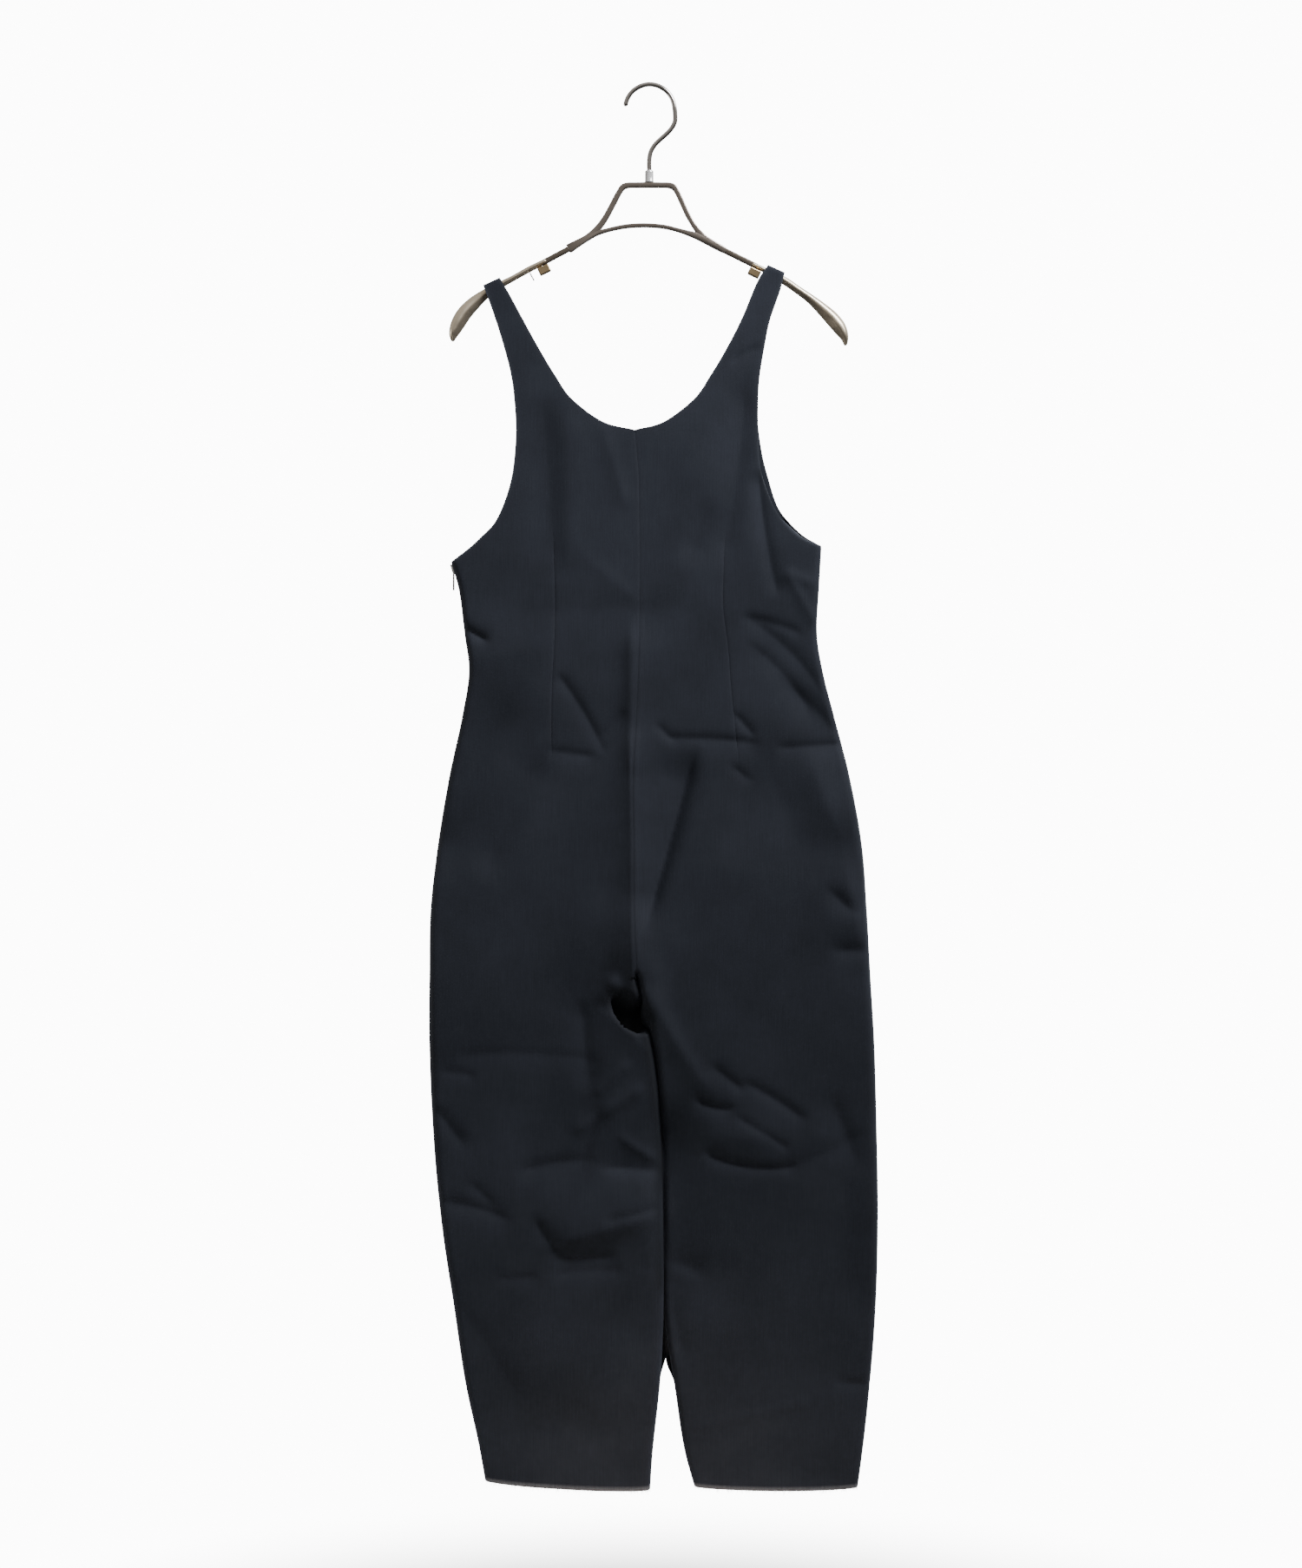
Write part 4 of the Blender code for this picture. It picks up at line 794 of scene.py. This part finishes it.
# The weave that the cloth and the zip tape share: twill lines, and uneven threads down the grain.
weave, weave_in, weave_out = new_group("twill_weave", {"Place": "Vector", "Lines": "Float"},
                                      {"Height": "Float", "Streak": "Float", "Cloud": "Float"})
woven = weave_in.outputs["Place"]
slant = add_node(weave, "Mapping", {"Vector": woven, "Rotation": (0, 0, math.radians(63))})
twill = add_node(weave, "TexWave", {
    "Vector": slant.outputs[0], "Scale": weave_in.outputs["Lines"], "Distortion": 0.6, "Detail": 1.0})
down = add_node(weave, "Mapping", {"Vector": woven, "Scale": (1400.0, 26.0, 1.0)})
streak = add_node(weave, "TexNoise", {
    "Vector": down.outputs[0], "Scale": 1.0, "Detail": 3.0, "Roughness": 0.65})
broad = add_node(weave, "TexNoise", {"Vector": woven, "Scale": 11.0, "Detail": 5.0, "Roughness": 0.6})
height = add_node(weave, "Math", {0: twill.outputs["Fac"], 1: streak.outputs["Fac"]}, operation="ADD")
weave.links.new(height.outputs[0], weave_out.inputs["Height"])
weave.links.new(streak.outputs["Fac"], weave_out.inputs["Streak"])
weave.links.new(broad.outputs["Fac"], weave_out.inputs["Cloud"])


def mix(tree, factor, first, second):
    """Mixed colour, first where the factor is 0 and second where it is 1; each is a colour or an output."""
    node = add_node(tree, "Mix", {"Factor": factor, "A": first, "B": second}, data_type="RGBA")
    return node.outputs["Result"]


def cloth_finish(name, dark, light, edge, sheen):
    """Navy twill: its colour runs from dark to light with the threads and the broad cloudiness of the dye.

    Free edges, and faintly the seams, are mixed towards the lighter edge colour as a painted highlight; the
    crotch pocket and the right leg's inner edge are mixed towards near black as painted shade; and the raw
    hems end in pale fuzz.
    """
    material, tree, shader = new_material(name)
    shader.inputs["Roughness"].default_value = 0.82
    shader.inputs["Specular IOR Level"].default_value = 0.28
    shader.inputs["Sheen Weight"].default_value = sheen
    shader.inputs["Sheen Roughness"].default_value = 0.45
    shader.inputs["Sheen Tint"].default_value = (0.62, 0.72, 0.90, 1.0)
    threads = add_node(tree, "UVMap", uv_map="grain")
    fabric = add_node(tree, "Group", node_tree=weave)
    tree.links.new(threads.outputs[0], fabric.inputs["Place"])
    fabric.inputs["Lines"].default_value = 330.0
    blend = add_node(tree, "Math", {0: fabric.outputs["Streak"], 1: 0.6, 2: fabric.outputs["Cloud"]},
                     operation="MULTIPLY_ADD")
    tone = add_node(tree, "MapRange", {"Value": blend.outputs[0], "From Min": 0.55, "From Max": 1.05})
    base = mix(tree, tone.outputs[0], (*dark, 1.0), (*light, 1.0))
    # Painted highlight: free edges, and faintly the seams, are lightened towards the edge colour.
    edge_highlight = add_node(tree, "Attribute", attribute_name="edge_highlight")
    colour = mix(tree, edge_highlight.outputs["Fac"], base, (*edge, 1.0))
    # Painted shade: the crotch pocket and the right leg's inner edge are darkened towards near black.
    shade_mask = add_node(tree, "Attribute", attribute_name="painted_shade")
    depth = add_node(tree, "Math", {0: shade_mask.outputs["Fac"], 1: 0.9}, operation="MULTIPLY")
    shade = mix(tree, depth.outputs[0], colour, (0.0006, 0.0007, 0.0009, 1.0))
    fuzz = add_node(tree, "Attribute", attribute_name="frayed")
    uneven = add_node(tree, "Math", {0: fuzz.outputs["Fac"], 1: fabric.outputs["Streak"]},
                      operation="MULTIPLY", use_clamp=True)
    worn = mix(tree, uneven.outputs[0], shade, (0.42, 0.41, 0.42, 1.0))
    tree.links.new(worn, shader.inputs["Base Color"])
    relief = add_node(tree, "Bump", {
        "Height": fabric.outputs["Height"], "Strength": 0.22, "Distance": 0.0004})
    tree.links.new(relief.outputs[0], shader.inputs["Normal"])
    return material


# The third colour is the painted highlight along free edges and seams.
navy = cloth_finish("navy_twill", (0.0131, 0.0150, 0.0213), (0.0252, 0.0284, 0.0383),
                    (0.050, 0.055, 0.066), 0.10)
# Cut size of a panel with its seam allowances, width and length, and its flat area, in metres.
CUTS = {("front", "right"): (0.262, 1.350, 0.296), ("front", "left"): (0.288, 1.366, 0.300),
        ("back", "right"): (0.262, 1.350, 0.292), ("back", "left"): (0.288, 1.366, 0.296)}
GRIDS = {"front": (410, 6, 33), "back": (250, 5, 19)}   # rows, columns of a turn, columns of a flat part
cloth = {}
hem_points = {}
for (face, side), (cut_width, cut_length, cut_area) in CUTS.items():
    points, edge, painted_shade = panel_points(side, face, *GRIDS[face])
    hem_points[face, side] = points[-1].copy()
    if face == "front":
        points[..., 1] *= -1
    faces_out = (face == "front") == (side == "left")
    order = slice(None) if faces_out else slice(None, None, -1)
    points, edge, painted_shade = points[:, order], edge[:, order], painted_shade[:, order]
    panel = surface(f"cloth_{face}_{side}", points)
    grain = panel.data.uv_layers.new(name="grain")
    corner = np.empty(len(panel.data.loops), dtype=np.int32)
    panel.data.loops.foreach_get("vertex_index", corner)
    flat = points.reshape(-1, 3)[:, (0, 2)] * (0.001, -0.001)
    grain.data.foreach_set("uv", flat[corner].ravel())
    frayed = np.zeros_like(edge)
    frayed[-2:] = [[0.5], [1.0]]
    for mask_name, mask in (("edge_highlight", edge), ("painted_shade", painted_shade), ("frayed", frayed)):
        panel.data.attributes.new(mask_name, "FLOAT", "POINT").data.foreach_set("value", mask.ravel())
    wall = panel.modifiers.new("cloth", "SOLIDIFY")
    wall.thickness = CLOTH * 0.001
    wall.offset = -1.0
    wall.use_even_offset = False
    panel.data.materials.append(navy)
    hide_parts(f"{face}_{side}_panel")
    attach(panel, "garment")
    cloth[face, side] = panel

# ---------------------------------------- hems
# The legs are cut off raw: the last weft threads have gone, and short warp ends stand out as a pale fuzz.
FRAY_STEP = 0.75        # threads lie this far apart along a hem
FRAY_LENGTH = (2.2, 6.0)
FRAY_RADIUS = 0.14
FRAY_ROOT = 0.8         # how far above the hem a thread starts
thread_dice = np.random.default_rng(11)


def fray(name, hem, depth_sign):
    """Loose thread ends along a hem, as thin three-sided strands joined in one mesh.

    A strand starts inside the wall, and its points are start + down * s + drift * s^2, with s from 0 to its
    length and a random drift; its radius falls to a third at the tip.
    """
    run = np.concatenate([[0], np.cumsum(np.linalg.norm(np.diff(hem, axis=0), axis=1))])
    count = int(run[-1] / FRAY_STEP)
    at = np.sort(thread_dice.uniform(0.5, run[-1] - 0.5, count))
    start = np.stack([np.interp(at, run, hem[:, k]) for k in range(3)], axis=1)
    start[:, 1] = (np.maximum(start[:, 1] - CLOTH * thread_dice.uniform(0.2, 0.8, count), 0.3)) * depth_sign
    start[:, 2] -= FRAY_ROOT
    length = thread_dice.uniform(*FRAY_LENGTH, count) * thread_dice.uniform(0.5, 1.0, count)
    lean = thread_dice.normal(0, (0.22, 0.12, 0.0), (count, 3))
    drift = thread_dice.normal(0, (0.07, 0.05, 0.02), (count, 3))
    s = (np.linspace(0, 1, 4)[None] * (length[:, None] + FRAY_ROOT))[..., None]
    line = start[:, None] + (lean + (0, 0, 1))[:, None] * s + drift[:, None] * s**2
    ring = circle(3)
    radius = FRAY_RADIUS * np.linspace(1, 0.35, 4)[None, :, None]
    strands = np.repeat(line[:, :, None], 3, axis=2)
    strands[..., 0] += radius * ring[:, 0]
    strands[..., 1] += radius * ring[:, 1]
    number = np.arange(count * 12).reshape(count, 4, 3)
    side_a, side_b = number, np.roll(number, -1, axis=2)
    quads = np.stack([side_a[:, :-1], side_b[:, :-1], side_b[:, 1:], side_a[:, 1:]], axis=-1)
    tips = np.concatenate([number[:, 0, ::-1], number[:, -1]])
    return mesh_piece(name, strands, quads.reshape(-1, 4)[:, ::-1].tolist() + tips[:, ::-1].tolist())


thread, thread_tree, thread_shader = new_material("loose_thread")
thread_shader.inputs["Roughness"].default_value = 0.9
thread_shader.inputs["Sheen Weight"].default_value = 0.3
thread_place = add_node(thread_tree, "TexCoord")
thread_noise = add_node(thread_tree, "TexNoise", {"Vector": thread_place.outputs["Object"], "Scale": 700.0})
thread_tone = mix(thread_tree, thread_noise.outputs["Fac"], (0.060, 0.060, 0.062, 1.0),
                  (0.240, 0.225, 0.205, 1.0))
thread_tree.links.new(thread_tone, thread_shader.inputs["Base Color"])
for (face, side), hem in hem_points.items():
    fringe = fray(f"hem_fray_{face}_{side}", hem, -1 if face == "front" else 1)
    fringe.data.materials.append(thread)
    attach(fringe, "garment")

for (face, side), panel in cloth.items():
    cut_width, cut_length, cut_area = CUTS[face, side]

# ---------------------------------------- side zip
# A concealed zip in the right side seam: a plain navy tape, and a slider with a plain silver pull that hangs
# at the underarm.  All three keep their solids' form and only get their finishes here.
tape_finish = cloth_finish("navy_tape", (0.012, 0.014, 0.018), (0.020, 0.023, 0.029),
                           (0.03, 0.034, 0.04), 0.05)
silver = hard_finish("satin_silver", (0.66, 0.66, 0.64), 1.0, (0.16, 0.30), 0.08)
ZIP_FINISHES = {"zip_tape": tape_finish, "zip_slider": silver, "zip_pull": silver}
for node_name, finish in ZIP_FINISHES.items():
    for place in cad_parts[node_name].material_slots:
        place.material = finish

# ---------------------------------------- studio
# A pale floor well below the hems, a white surround, a broad key light high at the right and weak fills.
FLOOR = (-1.75, 0.95)       # height, radius
ring_radius = np.array([0.001, 0.3, 0.55, 0.75, 0.9, 1.0])[:, None] * FLOOR[1] * 1000
floor_ring = circle(96)
floor_grid = np.stack([ring_radius * floor_ring[:, 0], ring_radius * floor_ring[:, 1],
                       np.full((6, 96), -FLOOR[0] * 1000)], axis=-1)
floor = surface("pale_floor", floor_grid, round_across=True)
floor_finish, floor_tree, floor_shader = new_material("pale_floor")
floor_shader.inputs["Base Color"].default_value = (0.86, 0.86, 0.86, 1.0)
floor_shader.inputs["Roughness"].default_value = 0.9
floor_place = add_node(floor_tree, "TexCoord")
from_middle = add_node(floor_tree, "VectorMath", {0: floor_place.outputs["Object"], 1: (1.0, 1.0, 0.0)},
                       operation="MULTIPLY")
radius = add_node(floor_tree, "VectorMath", {0: from_middle.outputs[0]}, operation="LENGTH")
fade = add_node(floor_tree, "MapRange", {
    "Value": radius.outputs["Value"], "From Min": 0.35, "From Max": FLOOR[1], "To Min": 1.0, "To Max": 0.0},
                interpolation_type="SMOOTHSTEP")
floor_tree.links.new(fade.outputs[0], floor_shader.inputs["Alpha"])
floor.data.materials.append(floor_finish)

world = bpy.data.worlds.new("white_surround")
bpy.context.scene.world = world
world.use_nodes = True
sky = world.node_tree
backdrop = sky.nodes["Background"]
backdrop.inputs["Color"].default_value = (1.0, 1.0, 1.0, 1.0)
backdrop.inputs["Strength"].default_value = 12.0
direction = add_node(sky, "TexCoord")
upward = add_node(sky, "SeparateXYZ", {0: direction.outputs["Generated"]})
fill_tone = add_node(sky, "MapRange", {
    "Value": upward.outputs["Z"], "From Min": -0.5, "From Max": 0.7, "To Min": 0.02, "To Max": 0.22})
# Polished pieces mirror a brighter room than the one that lights the cloth.
seen = add_node(sky, "LightPath")
mirrored = add_node(sky, "Math", {0: seen.outputs["Is Glossy Ray"], 1: 1.7, 2: 1.0}, operation="MULTIPLY_ADD")
room_light = add_node(sky, "Math", {0: fill_tone.outputs[0], 1: mirrored.outputs[0]}, operation="MULTIPLY")
fill = add_node(sky, "Background", {"Color": (1.0, 0.97, 0.94, 1.0), "Strength": room_light.outputs[0]})
choice = add_node(sky, "MixShader", {
    0: seen.outputs["Is Camera Ray"], 1: fill.outputs[0], 2: backdrop.outputs[0]})
sky.links.new(choice.outputs[0], sky.nodes["World Output"].inputs["Surface"])

# name, place, aim, size, power, spread, colour
LIGHTS = [
    ("key", (4.0, -2.2, 2.4), (0.0, 0.0, -0.8), 1.4, 122.0, 180, (0.98, 0.98, 1.0)),
    ("top", (0.9, -1.0, 0.9), (-0.03, 0.0, -0.45), 0.6, 8.0, 75, (0.88, 0.92, 1.0)),
    ("low_fill", (0.02, -0.55, -1.67), (0.02, 0.0, -1.58), 0.25, 0.15, 60, (1.0, 0.80, 0.64)),
    ("left_fill", (-2.5, 0.1, -0.7), (-0.2, 0.0, -0.8), 1.4, 16.0, 180, (1.0, 1.0, 1.0)),
    ("back_fill", (1.2, 2.6, 0.8), (0.0, 0.0, -0.8), 2.0, 56.0, 180, (1.0, 1.0, 1.0)),
]
for name, place, aim, size, power, spread, colour in LIGHTS:
    lamp = bpy.data.lights.new(name, "AREA")
    lamp.spread = math.radians(spread)
    lamp.size = size
    lamp.energy = power
    lamp.color = colour
    lamp_object = bpy.data.objects.new(name, lamp)
    lamp_object.location = place
    across, ahead, up = np.array(aim) - np.array(place)
    pitch = math.atan2(math.hypot(across, ahead), -up)
    lamp_object.rotation_euler = (pitch, 0, math.atan2(ahead, across) - math.pi / 2)
    bpy.context.scene.collection.objects.link(lamp_object)
